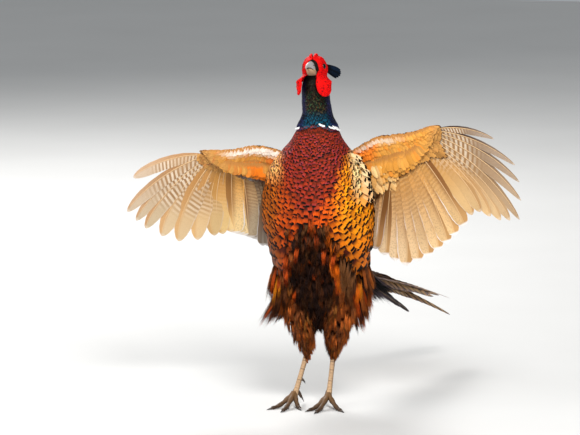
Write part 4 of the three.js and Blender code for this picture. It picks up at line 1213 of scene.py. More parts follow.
def lay_tufts(coat):
    z, a, length, width = np.array([row[:4] for row in FLANK_TUFTS], float).T
    tint = np.array([row[4] for row in FLANK_TUFTS])
    bearing = toward(a)
    down, out = body_axes(z, bearing)
    way = unit(down + [0, 0, -0.6]) + aside(out, down, 0.12)
    way = way + np.cross(down, out) * (0.3 * smooth(a, 32, 45))[:, None]
    locks(coat, body_point(z, bearing, 2), way, out, length, width, tint, body_place(z, bearing),
          per=44, lift=0.2, point=0.45, fine=1.6, varied=0.22)


def build_flank_coat():
    """Loose feathers of the flanks and round the vent."""
    coat = Coat()
    lay_flank(coat)
    lay_tufts(coat)
    coat.build("flank_coat", STRAND, "breast_feathers")


def on_shoulder(z, a):
    """Where the large pale feathers of the left shoulder grow."""
    return (a > 56 + 0.24 * (z - 350)) & (a < 100) & (z > 350) & (z < 420)


def build_shoulder_spray():
    """Large pale spotted feathers that stand off the breast's left edge."""
    coat = Coat()
    rows = [(z, a + 5 * (k % 2)) for k, z in enumerate(np.arange(349, 436, 6))
            for a in np.arange(50, 104, 8)]
    z, a = np.array(rows).T
    count = len(z)
    z, a = z + spread(-2, 2, count), a + spread(-1.5, 1.5, count)
    keep = on_shoulder(z - 12, a)
    z, a = z[keep], a[keep]
    count = len(z)
    bearing = toward(a)
    way, out = flow(z, bearing)
    way = unit(way + [0.12, -0.1, -0.1] + spread(-0.16, 0.16, (count, 3)))
    golden = smooth(-a, -80, -56) * 0.45 + 0.35 * smooth(390 - z, 0, 40) + 0.2 * rng.random(count)
    tint = mix(srgb("#ffe9b4"), GOLD, np.minimum(golden, 1))
    tint = marked(tint * (1 + spread(-0.1, 0.1, count))[:, None], spread(1.3, 1.7, count))
    points = grow(SCALE_PLUME, body_point(z, bearing, -COAT_DEPTH), way, out,
                  spread(20, 26, count), spread(9.5, 12, count),
                  lift=0.22 + spread(-0.03, 0.09, count), droop=-0.16, cup=0.25)
    coat.add(SCALE_PLUME, points, tint, body_place(z, bearing))
    coat.build("shoulder_spray", SPRAY, "breast_feathers")


# Thighs

def thigh_line(leg):
    """Line of the feathered leg from above the shank to inside the body."""
    ankle, knee = vector(leg["ankle"]), vector(leg["knee"])
    start = [ankle[0], ankle[1] - 3, SOCK_LEVEL - 4]
    return Line([start, ankle + (knee - ankle) * 0.12, ankle + (knee - ankle) * 0.5, knee,
                 knee + [0, 34, 34]])


thigh_radius = Profile([(0, 5.2), (0.15, 6.6), (0.37, 13.5), (0.56, 21), (0.75, 27), (1, 24)])


def build_thigh_coat(name, leg):
    coat = Coat()
    line = thigh_line(leg)
    count = 400
    t = rng.random(count) ** 0.7 * 0.93 + 0.04
    angle = spread(0, 2 * np.pi, count)
    along = line.along(t)
    across = unit(np.cross(along, [0, 1.0, 0.3]))
    other = np.cross(along, across)
    out = across * np.cos(angle)[:, None] + other * np.sin(angle)[:, None]
    root = line(t) + out * (thigh_radius(t) - 2.5)[:, None]
    way = unit(-along + [0, 0, -0.45]) + aside(out, along, 0.2)
    colours = (CHESTNUT * 1.9, UMBER * 2.4, srgb("#b06c2c"), UMBER * 1.5)
    tint = pick((4, 3, 1.2, 0.6), colours, count)
    grown = smooth(t, 0.05, 0.5)
    length = (11 + 20 * grown) * spread(0.85, 1.2, count)
    locks(coat, root, way, out, length, 3 + 6 * grown, tint, spot(round_map(angle), on_map(t)),
          per=25, lift=0.1, fine=0.95, varied=0.6)
    coat.build(f"thigh_coat_{name}", STRAND, "thigh_feathers", f"thigh_{name}")


# Head

HEAD_AXES = np.array(Matrix.Rotation(HEAD_PITCH, 3, "X") @ Matrix.Rotation(HEAD_ROLL, 3, "Y"))


def on_head(x, p, q):
    """Place in the bird's frame of a place in the head's: across, ahead and up."""
    local = np.stack(np.broadcast_arrays(x, -np.asarray(p, float), q), -1)
    return local @ HEAD_AXES.T + HEAD_AT


def in_head(places):
    """The way back: x across, minus p and q of places in the bird's frame."""
    return (places - vector(HEAD_AT)) @ HEAD_AXES


skull_half, skull_top, skull_bottom = columns(SKULL)


def skull_middle(p):
    """Level of the middle of a section of the skull, and half its height."""
    return (skull_top(p) + skull_bottom(p)) / 2, (skull_top(p) - skull_bottom(p)) / 2


def skull_point(p, angle, out=0.0):
    centre, height = skull_middle(p)
    x = (skull_half(p) + out) * np.cos(angle)
    return x, p + 0 * angle, centre + (height + out) * np.sin(angle)


def skull_side(p, q):
    """Half width of the skull at a place seen from the side."""
    centre, height = skull_middle(p)
    level = np.minimum(np.abs(q - centre) / height, 0.985)
    return skull_half(p) * np.sqrt(1 - level ** 2)


def skull_girth(p):
    return np.pi * (skull_half(p) + skull_middle(p)[1])


face_reach = Profile(FACE_OUTLINE)


def face_place(side, turn, angle, part, lift):
    """Place on the red face skin about the eye, by bearing and part of the way out."""
    outer = face_reach(np.degrees(angle) % 360)
    outer = outer * (1 + (LOBE_SIZE["left" if side > 0 else "right"] - 1) * smooth(outer, 20, 30))
    hole = EYE_RADIUS * 0.62
    r = hole + (outer - hole) * part
    p = EYE_P + EYE_SHIFT[0] * (1 - part) + r * np.cos(angle)
    q = EYE_Q + EYE_SHIFT[1] * (1 - part) + r * np.sin(angle)
    low = smooth(-q, 6, 24)
    yaw = math.radians(turn) * low
    a = p - EYE_P
    lobe_p = EYE_P + (12 - EYE_P) * low + a * np.cos(yaw)
    lobe_x = 21 + (4 if turn < 30 else 0) * low - a * np.sin(yaw) - a * a / 60
    at_p = p + (lobe_p - p) * low
    skull_x = skull_side(np.clip(p, -26, 22), q)
    at_x = skull_x + (lobe_x - skull_x) * low + 2.2 * smooth(q, 11, 19)
    fold = 0.5 * low * np.sin(r * 0.55 + 3 * np.cos(angle * 3))
    return on_head(side * (at_x + (lift + fold) * np.cos(yaw)), at_p + lift * np.sin(yaw), q)


def build_face(name, side):
    turn = LOBE_TURN[name]
    around, steps, behind = 150, 34, 8
    angle = turns(around)[:, None]
    part = np.linspace(0, 1, steps)[None, :]
    grain = rng.normal(size=(around, steps))
    rim = 1.1 * np.exp(-((part - 0.1) / 0.06) ** 2)
    crown = np.sqrt(np.clip(1 - part ** 6, 0, 1))
    near = np.exp(-(part / 0.22) ** 2) * np.clip(np.cos(angle), 0, 1)
    front = (1.6 + 0.9 * np.sin(part * np.pi)) * crown + 0.6 * rim - 1.3 * near
    front = front + 0.28 * grain * crown
    top = face_place(side, turn, angle, part, front)
    bottom = face_place(side, turn, angle, np.linspace(1, 0, behind)[None, :],
                        np.full((around, behind), -2.6))
    rings = np.concatenate([top, bottom], 1)
    a = np.arange(around * rings.shape[1]).reshape(around, rings.shape[1])
    b = np.roll(a, -1, axis=1)
    faces = np.stack([a, b, np.roll(b, -1, axis=0), np.roll(a, -1, axis=0)], -1).reshape(-1, 4)
    piece = mesh_object(f"face_skin_{name}", rings.reshape(-1, 3), faces)
    weld(piece)
    below = smooth(EYE_Q - 8 - in_head(rings)[..., 2], 0, 10)
    set_tint(piece.data, marked(np.ones(rings.shape), below).reshape(-1, 4))
    finished(piece, WATTLE, "face_skin", f"face_{name}")


def build_eye(name, side):
    around, steps = 32, 20
    polar = np.linspace(0, np.pi, steps)[:, None]
    turn = turns(around)[None, :]
    outward, ahead = np.cos(polar) + 0 * turn, np.sin(polar) * np.cos(turn)
    cos, sin = math.cos(PUPIL_TURN), math.sin(PUPIL_TURN)
    x = EYE_X - EYE_SINK[name] + EYE_RADIUS * (outward * cos - ahead * sin)
    p = EYE_P + EYE_SHIFT[0] + EYE_RADIUS * (ahead * cos + outward * sin)
    q = EYE_Q + EYE_SHIFT[1] + EYE_RADIUS * np.sin(polar) * np.sin(turn)
    points = on_head(side * x, p, q)
    piece = mesh_object(f"eyeball_{name}", points.reshape(-1, 3), ring_faces(steps, around))
    pupil = smooth(np.degrees(polar) + 0 * turn, 38, 42)
    rim = smooth(np.degrees(polar) + 0 * turn, 50, 56)
    colour = mix(mix(np.zeros(3), srgb("#4a200c"), pupil), srgb("#080404"), rim)
    set_tint(piece.data, marked(colour).reshape(-1, 4))
    weld(piece)
    finished(piece, EYE, "eye_glass", f"eye_{name}")


bill_top = Profile([(0, 9.5), (0.15, 9), (0.4, 7), (0.65, 3.6), (0.85, -0.8), (0.95, -4.6),
                    (1, -6.8)])
bill_edge = Profile([(0, -10), (0.2, -7.4), (0.5, -4.6), (0.8, -4.4), (0.95, -6.2), (1, -7.4)])
bill_under = Profile([(0, -13.4), (0.2, -11.8), (0.5, -9.7), (0.8, -8), (1, -7)])
bill_wide = Profile([(0, 1.04), (0.2, 0.98), (0.5, 0.74), (0.8, 0.42), (0.95, 0.2), (1, 0.1)])


def bill_rings(upper):
    """Sections of the upper or the lower half of the bill."""
    rings = []
    steps, arch = 40, 26
    length = BILL_LENGTH if upper else BILL_LENGTH - 5
    for t in np.linspace(0, 1, steps):
        p = BILL_START - 1.5 + (length + 1.5) * t
        half = BILL_HALF * bill_wide(t) * (1 if upper else 1.04 - 0.2 * t)
        edge = bill_edge(t) - (0 if upper else MOUTH_GAPE)
        height = (bill_top(t) - edge) if upper else (bill_under(t) - edge)
        angle = np.linspace(0, np.pi, arch)
        x = half * np.cos(angle)
        q = edge + height * np.sin(angle) ** 0.85
        ridge = 0.5 * np.exp(-(np.cos(angle) / 0.16) ** 2) * (1 - t) if upper else 0
        floor = np.linspace(-half, half, 10)[1:-1]
        inner = edge + np.sign(height) * (1.3 - 1.0 * (floor / half) ** 2) * (1 - 0.7 * t)
        turned = np.concatenate([x, floor]) - BILL_TURN * (p - 12)
        level = np.concatenate([q + ridge, inner]) - BILL_DROP - 0.03 * (p - 19)
        rings.append(on_head(turned, p, level))
    return rings


def bill_tint(places, tints):
    """Colours from root to tip, with the yellow corner of the mouth."""
    local = in_head(places)
    ahead = (-local[:, 1] - BILL_START) / BILL_LENGTH
    root, middle, tip = (srgb(tint) for tint in tints)
    colour = mix(mix(root, middle, smooth(ahead, 0.0, 0.35)), tip, smooth(ahead, 0.6, 1.0) * 0.7)
    mouth = local[:, 2] - MOUTH_LEVEL + BILL_DROP
    gape = smooth(0.5 - ahead, 0, 0.3) * smooth(2.0 - np.abs(mouth), 0, 1.2)
    return marked(mix(colour, srgb("#e0b040"), gape * (np.abs(local[:, 0]) > 4)))


def build_bill():
    for upper, name, tints in ((True, "bill_upper", ("#67625f", "#94929a", "#665c54")),
                               (False, "bill_lower", ("#96663c", "#b88a5c", "#84603c"))):
        piece = joined(f"{name}_horn", [closed_loft(np.array(bill_rings(upper)))])
        set_tint(piece.data, bill_tint(places_of(piece.data), tints))
        finished(piece, BILL, "bill_horn", name)


def build_nostrils():
    nostrils = []
    turn = turns(14)[None, :]
    polar = np.linspace(0.15, np.pi - 0.15, 10)[:, None]
    for side in (-1, 1):
        p = BILL_START + 6.5 + 2.6 * np.cos(polar) + 0 * turn
        x = side * (6.9 - 0.10 * (p - BILL_START)) + 0.7 * np.sin(polar) * np.cos(turn)
        q = 1.8 - 0.3 * (p - BILL_START - 6.5) + 0.9 * np.sin(polar) * np.sin(turn)
        nostrils.append(closed_loft(on_head(x - BILL_TURN * (p - 12), p, q - BILL_DROP)))
    piece = joined("nostrils", nostrils)
    # Painted shade: small dark bodies stand in for the shaded nostril openings.
    paint_all(piece, "#241a16")
    finished(piece, CLAW, "bill_horn")


def outside_face(p, q):
    bearing = np.degrees(np.arctan2(q - EYE_Q, p - EYE_P)) % 360
    return np.hypot(p - EYE_P, q - EYE_Q) > face_reach(bearing) * 0.93


def build_head_coat():
    coat = Coat()
    p, angle = staggered(np.arange(21.5, -26.5, -1.7), skull_girth, 1.9, 6)
    p = p + spread(-0.4, 0.4, len(p))
    _, _, q = skull_point(p, angle)
    keep = outside_face(p, q) & ~((p > 17) & (q < bill_top(0)) & (q > bill_under(0)))
    p, angle = p[keep], angle[keep]
    root = on_head(*skull_point(p, angle, -0.9))
    out = unit(on_head(*skull_point(p, angle, 1.0)) - root)
    back = unit(on_head(*skull_point(p - 0.7, angle)) - on_head(*skull_point(p + 0.7, angle)))
    below = smooth(-np.sin(angle), 0.2, 0.9)
    back = unit(back + np.array([0, 0, -0.5]) * below[:, None])
    crown = mix(srgb("#14261c"), srgb("#1c3a2a"), rng.random(len(p)))
    tint = marked(mix(crown, srgb("#17100a"), below), 0.1)
    points = grow(SMALL_PLUME, root, back, out, 4.6, 2.7, lift=0.16, droop=-0.12, cup=0.25,
                  thick=0.2)
    coat.add(SMALL_PLUME, points, tint, spot(round_map(angle), on_map((p + 28) / 52)))
    coat.build("head_coat", NECK_LOOK, "neck_feathers")


def build_ear_tuft(name, side):
    coat = Coat()
    way = vector(TUFT_REACH[name]) * [1, -1, 1]
    across = unit(np.cross(np.cross([0, 0.35, 1], way), way))
    thin = unit(np.cross(way, across))
    fan = np.linspace(-0.5, 0.5, TUFT_FEATHERS)
    foot = vector(TUFT_ROOT) * [1, -1, 1]
    depth = thin * spread(-1.2, 1.2, TUFT_FEATHERS)[:, None]
    start = foot + across * (fan * 9)[:, None] + depth
    length = np.linalg.norm(way) * (1 - 0.5 * fan ** 2) * spread(0.88, 1.0, TUFT_FEATHERS)
    tip = foot + unit(way) * length[:, None] + across * (fan * 20 - 2)[:, None] + depth
    flip = np.array([side, 1, 1])
    root = (start * flip) @ HEAD_AXES.T + HEAD_AT
    way = (tip * flip) @ HEAD_AXES.T + HEAD_AT - root
    out = np.broadcast_to((thin * flip) @ HEAD_AXES.T, root.shape)
    tint = marked(mix(srgb("#04060a"), srgb("#0c1c30"), rng.random(TUFT_FEATHERS)), 0.1)
    points = grow(COVERT_PLUME, root, way, out, np.linalg.norm(way, axis=1), 4.6, cup=0.2,
                  thick=0.5)
    coat.add(COVERT_PLUME, points, tint, spot(0.1 + 0.8 * (fan + 0.5), 0.5))
    coat.build(f"ear_coat_{name}", TUFT_LOOK, "neck_feathers", f"ear_tuft_{name}")


# Wings

def flight_root(wing, i):
    finger, wrist, elbow = (vector(wing[key]) for key in ("finger", "wrist", "elbow"))
    if i < PRIMARIES:
        return finger + (wrist - finger) * i / PRIMARIES
    return wrist + (elbow - wrist) * (i - PRIMARIES) / (FLIGHT_FEATHERS - PRIMARIES)


def flight_tip(wing, i):
    fan = np.array(wing["fan"], float)
    below, reach, depth = (np.interp(i, fan[:, 0], fan[:, k]) for k in (1, 2, 3))
    angle = math.radians(below)
    wrist = wing["wrist"]
    return np.array([wrist[0] + reach * math.cos(angle), depth,
                     wrist[2] + 17 - reach * math.sin(angle)])


def flight_curve(wing, i):
    root, tip = flight_root(wing, i), flight_tip(wing, i)
    along = tip - root
    upward = unit(np.array([-along[2], 0, along[0]]))
    bow = 0.11 if i < PRIMARIES else 0.04
    length = np.linalg.norm(along)
    sign = 1 if upward[2] > 0 else -1
    middle = (root + tip) / 2 + upward * sign * bow * length + np.array([0, 0.05 * length, 0])
    return Arc(root, middle, tip)


FEATHER_ROLL = math.radians(2)


def flight_side(wing, i):
    """Way across a flight feather towards its inner neighbour, and way out of its underside."""
    outer = flight_curve(wing, max(i - 1, 0))(0.7)
    inner = flight_curve(wing, min(i + 1, FLIGHT_FEATHERS - 1))(0.7)
    along = flight_curve(wing, i).along(0.5)
    level = inner - outer
    level = unit(level - along * level.dot(along))
    under = unit(np.cross(level, along))
    if under[1] > 0:
        under = -under
    return unit(level * math.cos(FEATHER_ROLL) + under * math.sin(FEATHER_ROLL)), under


QUILL_TIP = 0.22


def feather_axes(curve, side, t):
    """Ways across a long feather and out of its upper face, at places along it."""
    along = curve.along(t)
    across = unit(side - along * (along @ side)[:, None])
    return across, np.cross(across, along)


def long_feather(plume, curve, side, width, cup, thick, fray=0.02):
    """Points of one long feather along a curve, with slightly uneven edges."""
    t = plume.t
    across, up = feather_axes(curve, side, t)
    rough = 1 + fray * np.sin(t * 97 + rng.random() * 6 + plume.s * 2) * np.abs(plume.s) ** 3
    x = width / 2 * plume.w * plume.x * rough
    z = -cup * width / 2 * (plume.w * plume.x) ** 2 + thick / 2 * plume.side * (1.2 - 0.6 * t)
    return curve(t) + across * x[:, None] + up * z[:, None]


def strip(k, count):
    """Middle and size of one of several upright strips of a map."""
    return [[0.02 + 0.96 * (k + 0.5) / count, 0.5]], (0.9 / count, 0.96)


def shaft_body(curve, side, width, place, outline, radius):
    """Tapered quill along a long feather, at a place across its width from -1 to 1."""
    t = np.linspace(0, 0.97, 16)
    across, up = feather_axes(curve, side, t)
    centre = curve(t) + across * (width / 2 * outline(t) * place)[:, None]
    size = (radius * (1 - t) ** 0.8 + QUILL_TIP)[:, None, None]
    return closed_loft(rings_round(centre, across, up, size, 6))


# Colours of the flight feathers from the outermost in: feather number, leading web at its
# root and tip, inner web at its root and tip, and how strong the bars are
FLIGHT_TINTS = {
    "left": [
        (0, "#38241c", "#86766a", "#846648", "#ac9a8a", 0.8),
        (2, "#4a3022", "#8a7662", "#8c6c48", "#ac9680", 0.8),
        (4, "#644628", "#9c8060", "#987244", "#b09474", 0.6),
        (6, "#9c6c3c", "#b89468", "#b08044", "#c8a87c", 0.35),
        (9, "#94602c", "#c0925a", "#c48c44", "#d8b27c", 0.2),
        (12, "#8c5826", "#c0925a", "#cc9048", "#e0ba86", 0.2),
        (15, "#7c4c20", "#bc8e58", "#c48a44", "#e4c294", 0.22),
        (19, "#845426", "#ca9e66", "#cc8e48", "#eed2a8", 0.26),
        # Rows 22 and 26 are lightened as painted light on the innermost feathers, which lie in the
        # body's shade; row 26 serves only the tertials.
        (22, "#a87440", "#dcbc8a", "#d8a868", "#f2e0c0", 0.34),
        (26, "#ecbc7c", "#fae8c8", "#f4cc94", "#fcf0da", 0.3),
    ],
    "right": [
        (0, "#b0845a", "#c2a080", "#b8946e", "#c8b29a", 0.8),
        (3, "#a2703c", "#bc9064", "#b49068", "#c2ac8c", 0.9),
        (6, "#c08a4c", "#d0a670", "#c49458", "#d4b486", 0.45),
        (8, "#c48c44", "#d8ac6c", "#d89a4c", "#e4c284", 0.1),
        (12.4, "#dc9c44", "#ecbe7c", "#f0ac50", "#fadca4", 0.05),
        # Rows 13.2 and 23: grey-brown as painted shade on the inner secondaries and tertials of this
        # wing.
        (13.2, "#5a4834", "#847260", "#7c6852", "#a49684", 0.3),
        (23, "#50443a", "#8c8274", "#84786a", "#c0bab0", 0.3),
    ],
}


def flight_tint(name, i, plume):
    """Colour of each point of a flight feather, with the strength of its bars."""
    table = FLIGHT_TINTS[name]
    numbers = [row[0] for row in table]
    lead_root, lead_tip, inner_root, inner_tip = (
        np.array([np.interp(i, numbers, [srgb(row[k])[c] for row in table]) for c in range(3)])
        for k in range(1, 5))
    bars = np.interp(i, numbers, [row[5] for row in table])
    ripe = smooth(plume.t, 0.25, 0.95)
    fading = smooth(plume.t, 0.35, 0.6) if name == "left" and i < PRIMARIES else 0 * plume.t
    web = smooth(plume.s, -0.12, 0.12)
    colour = mix(mix(lead_root, lead_tip, ripe), mix(inner_root, inner_tip, ripe), web)
    if PRIMARIES <= i < FLIGHT_FEATHERS:
        # Brown streak on the leading web: partly its own colour, partly painted shade where the
        # neighbouring feather overlaps.
        streak = smooth(0.5 - plume.s, 0, 0.45) * smooth(0.97 - plume.t, 0, 0.45)
        colour = mix(colour, srgb("#7c4c20"), streak * 0.7)
    colour = colour * (1 + spread(-0.1, 0.1, 1))
    return marked(colour, bars * (1 - fading))[None]


POINTED_PRIMARIES = {"left": 5, "right": 0}
# Outer part and inner part of the hand: name, feathers, shape, place of the quill and look
FLIGHT_GROUPS = (
    ("primary", 0, PRIMARIES, PRIMARY_PLUME, PRIMARY_OUTLINE, -0.42, PRIMARY),
    ("secondary", PRIMARIES, FLIGHT_FEATHERS, SECONDARY_PLUME, FLIGHT_OUTLINE, -0.15, SECONDARY),
)


def build_flights(name, wing):
    quills = []
    for group, first, last, plume, outline, shaft, look in FLIGHT_GROUPS:
        coat = Coat()
        for i in range(first, last):
            curve = flight_curve(wing, i)
            side, _ = flight_side(wing, i)
            shape = (plume, outline, shaft)
            if i < POINTED_PRIMARIES[name]:
                shape = (POINTED_PLUME, POINTED_OUTLINE, -0.5)
            size = np.interp(i, *np.array(FLIGHT_WIDTHS[name]).T)
            points = long_feather(shape[0], curve, side, size, cup=0.04, thick=0.35)
            coat.add(shape[0], points[None], flight_tint(name, i, shape[0]),
                     *strip(i - first, last - first), wing["mirror"])
            places, faces = shaft_body(curve, side, size, shape[2], Profile(shape[1]), 0.7)
            quills.append((places * [wing["mirror"], 1, 1], faces))
        nodes = [f"wing_{name}"] if group == "primary" else []
        coat.build(f"{group}_vanes_{name}", look, "wing_feathers", *nodes)
    piece = joined(f"flight_quills_{name}", quills)
    paint_all(piece, "#d0a878")
    finished(piece, SHAFT, "wing_feathers")


# Innermost long feathers: the row of FLIGHT_TINTS that they follow, and for each its place
# along the arm from elbow to shoulder and its tip across, back and up
# Right tertials follow the grey rows, painted shade; left ones follow the lightened row 26, painted
# light.
TERTIAL_TINT = {"left": 26, "right": 20}
TERTIALS = {
    "left": [(0.1, (96, 46, 262)), (0.3, (86, 44, 276)), (0.5, (78, 42, 292)), (0.7, (72, 40, 308))],
    "right": [(0.05, (92, 40, 262)), (0.2, (84, 40, 262)), (0.35, (77, 40, 268)),
              (0.5, (72, 38, 280)), (0.65, (68, 36, 296)), (0.8, (64, 32, 316))],
}


def build_tertials(name, wing):
    """Broad inner feathers between the wing and the body."""
    coat = Coat()
    elbow, shoulder = vector(wing["elbow"]), vector(wing["shoulder"])
    count = len(TERTIALS[name])
    for k, (share, tip) in enumerate(TERTIALS[name]):
        root = elbow + (shoulder - elbow) * share + [0, 6, -12]
        curve = Arc(root, (root + tip) / 2 + [0, 10, 4], vector(tip))
        side = unit(np.array([-1.0, 0.12 - 0.1 * k, 0.1]))
        points = long_feather(SECONDARY_PLUME, curve, side, 24, cup=0.08, thick=0.45)
        tint = flight_tint(name, TERTIAL_TINT[name], SECONDARY_PLUME)
        coat.add(SECONDARY_PLUME, points[None], tint, *strip(k, count), wing["mirror"])
    coat.build(f"tertial_vanes_{name}", SECONDARY, "wing_feathers")


def arm_lines(wing):
    shoulder, elbow, wrist, finger = (
        vector(wing[key]) for key in ("shoulder", "elbow", "wrist", "finger"))
    rear = Line([shoulder + [-10, 6, -26], shoulder + [14, 6, -26], elbow + [-6, 0, -14],
                 (elbow + wrist) / 2 + [4, 0, -12], wrist + [6, 0, -10], finger + [4, 0, -6]])
    return Line(wing["lead"]), rear


arm_thick = Profile([(0, 26), (0.3, 20), (0.6, 16), (0.85, 11), (1, 6)])


def arm_point(wing, t, v, face, out=0.0):
    """Place on the arm: t from shoulder to finger, v from leading to trailing edge."""
    lead, rear = arm_lines(wing)
    t, v = np.broadcast_arrays(np.asarray(t, float), np.asarray(v, float))
    place = lead(t) * (1 - v)[..., None] + rear(t) * v[..., None]
    bulge = np.sqrt(np.clip(1 - (1 - 2 * v) ** 2, 0, 1))
    place[..., 1] += face * (arm_thick(t) * 0.5 * bulge + out)
    return place


def arm_normal(wing, t, v, face):
    """Way out of the arm's rounded surface."""
    t, v = np.clip(t, 0.02, 0.98), np.clip(v, 0.05, 0.95)
    step = 0.02
    beyond = arm_point(wing, t + step, v, face) - arm_point(wing, t - step, v, face)
    behind = arm_point(wing, t, v + step, face) - arm_point(wing, t, v - step, face)
    out = unit(np.cross(beyond, behind))
    return np.where((out[:, 1] * face < 0)[:, None], -out, out)


def feather_number(t):
    """Number of the flight feather that grows at a place along the arm."""
    return np.interp(t, [0, 0.4, 0.8, 1.0], [31, 23, 10, 0])


def arm_flow(wing, t):
    """Way that the coverts lie at a place along the arm."""
    ways = []
    for i in feather_number(np.atleast_1d(t)):
        held = min(i, FLIGHT_FEATHERS - 0.01)
        way = unit(flight_curve(wing, held)(0.6) - flight_root(wing, held))
        inner = unit(np.array([-0.12, 0.42, -0.9]))
        share = np.clip((i - FLIGHT_FEATHERS) / 6, 0, 1)
        ways.append(unit(way * (1 - share) + inner * share))
    return np.array(ways)


def covert_way(wing, t, v):
    """Along the flight feathers, turned outwards near the leading edge."""
    return arm_flow(wing, t) + np.array([0.75, 0, 0.15]) * smooth(-v, -0.75, -0.2)[:, None]


def axillary_way(wing, t, v):
    """Way of the long feathers at the armpit: down, and outwards farther along the arm."""
    turn = np.interp(t, [0.03, 0.4], [math.radians(-6), math.radians(38)])
    return np.stack([np.sin(turn), 0.34 + 0 * t, -np.cos(turn)], -1)


def covert_row(coat, wing, face, v, count, length, width, tint, mark, start=0.02, end=0.94,
               lift=0.08, sink=1.5, lie=covert_way):
    """One row of small feathers over the arm."""
    t = np.linspace(start, end, count) + spread(-0.008, 0.008, count)
    v = v + spread(-0.02, 0.02, count)
    root = arm_point(wing, t, v, face, -sink)
    flat = np.array([0.0, face, 0.0])
    out = unit(mix(arm_normal(wing, t, v, face), flat, smooth(v, 0.35, 0.6)))
    way = lie(wing, t, v)
    way = unit(way - out * np.sum(way * out, -1, keepdims=True))
    length = length * (1 - 0.5 * smooth(t, 0.68, 0.9))
    shade = (1 + spread(-0.2, 0.12, count))[:, None]
    colours = marked(tint(t, v) * shade, mark)
    points = grow(COVERT_PLUME, root, way, out, length * spread(0.9, 1.1, count), width,
                  lift=lift, droop=-0.1, cup=0.16, thick=0.4, sway=spread(-0.08, 0.08, count))
    place = spot(on_map(t, 0.02), 0.5 + face * (0.05 + 0.4 * v))
    coat.add(COVERT_PLUME, points, colours, place, mirror=wing["mirror"])


def covert_tier(coat, wing, face, step, start, reach, share, lift, width, tint, mark):
    """Longer coverts that lie along the flight feathers, on one face of the wing."""
    numbers = np.arange(start, FLIGHT_FEATHERS - 0.6, step)
    root, tip, normal = [], [], []
    for i in numbers:
        curve = flight_curve(wing, i)
        _, under = flight_side(wing, i)
        out = under if face < 0 else -under
        far = np.interp(i, *np.array(reach).T) * share
        root.append(curve(0.0) + out * lift[0])
        tip.append(curve(far * spread(0.94, 1.06, 1)[0]) + out * lift[1])
        normal.append(out)
    root, tip, normal = np.array(root), np.array(tip), np.array(normal)
    count = len(numbers)
    t = np.interp(numbers, [0, 10, 23], [1.0, 0.8, 0.4])
    arm = smooth(numbers, 6, 12)
    shade = (1 + spread(-0.16, 0.1, count) - 0.3 * (1 - arm) * rng.random(count))[:, None]
    marks = mark * (arm if mark > 1 else 1 + 0 * arm)
    colours = marked(tint(t, np.ones(count)) * shade, marks)
    points = grow(COVERT_PLUME, root, tip - root, normal, np.linalg.norm(tip - root, axis=1),
                  width * (0.5 + 0.5 * arm), lift=0.03 + spread(0, 0.03, count), droop=-0.04,
                  cup=0.14, thick=0.4)
    place = spot(on_map(t, 0.02), 0.5 + face * 0.45)
    coat.add(COVERT_PLUME, points, colours, place, mirror=wing["mirror"])


# Colours of the coverts on each side: buff, rust and the pale front edge
COVERT_COLOURS = {
    "left": [srgb(code) for code in ("#e29838", "#f68420", "#dcc8b0")],
    "right": [srgb(code) for code in ("#c88430", "#d8621a", "#f2e6da")],
}


def pale_edge(name, t, v):
    """Share of the pale colour at the wing's front edge."""
    if name == "left":
        return smooth(-v, -0.09, -0.03) * smooth(-t, -0.6, -0.3) * smooth(t, 0.04, 0.1)
    return smooth(-v, -0.18, -0.08) * smooth(-t, -0.78, -0.5) * smooth(t, 0.02, 0.08)


def under_tint(name, t, v):
    """Buff feathers below the wing, rust near the body and browner at the hand."""
    left = name == "left"
    buff, rust, pale = COVERT_COLOURS[name]
    colour = mix(buff, srgb("#e8ac58"), rng.random(len(t)) * 0.5)
    colour = mix(colour, rust, (rng.random(len(t)) < 0.12) * 0.35)
    colour = mix(colour, rust, smooth(-t, -0.27, -0.16) * (1 if left else smooth(v, 0.1, 0.3)))
    if not left:
        patch = smooth(v, 0.24, 0.34) * smooth(t, 0.32, 0.38) * smooth(-t, -0.58, -0.5)
        colour = mix(colour, srgb("#f47c10"), patch)
    brown = mix(srgb("#c89a60"), srgb("#96704a"), rng.random(len(t)))
    colour = mix(colour, brown, smooth(t, 0.66, 0.88) * 0.5)
    return mix(colour, pale, pale_edge(name, t, v) * 0.85)


def upper_tint(name, t, v):
    """Grey and brown feathers above the wing."""
    grey, brown = srgb("#8c8a86"), srgb("#6e4c30")
    colour = mix(mix(brown, grey, 0.5 + 0.4 * np.sin(t * 23)), brown, smooth(t, 0.5, 0.9))
    if name == "right":
        lead = smooth(-v, -0.3, -0.12) * smooth(t, 0.5, 0.75)
        colour = mix(colour, srgb("#c4986a"), lead * 0.85)
    return mix(colour, COVERT_COLOURS[name][2], pale_edge(name, t, v * 0.5) * 0.9)


def axillary_tint(name, t, v):
    return mix(COVERT_COLOURS[name][0], srgb("#f6d090"), rng.random(len(t)))


UNDER_ROWS = (0.02, 0.07, 0.14, 0.25, 0.38, 0.5, 0.62, 0.74, 0.86)
# Tiers of long coverts: step and first feather number, share of their reach, how far they
# stand off at root and tip, width, and how strong their marks are below, by side, and above
# The marks below are partly the coverts' own dark edges and partly painted shadow along their lower
# edge.
COVERT_TIERS = (
    (0.5, 0.0, 1.0, (0.5, 2.2), 16, {"left": 0.9, "right": 1.2}, 0.3),
    (0.4, 0.25, 0.72, (1.5, 3.2), 12, {"left": 0.35, "right": 0.1}, 0.08),
    (0.3, 0.1, 0.5, (2.5, 4.2), 9, {"left": 0.35, "right": 0.1}, 0.08),
)
UPPER_REACH = [(0, 0.39), (23, 0.39)]
# Long feathers at the armpit: place across the arm and length
AXILLARIES = {"left": [(0.4, 26), (0.55, 32), (0.7, 38), (0.85, 44)], "right": [(0.6, 14)]}


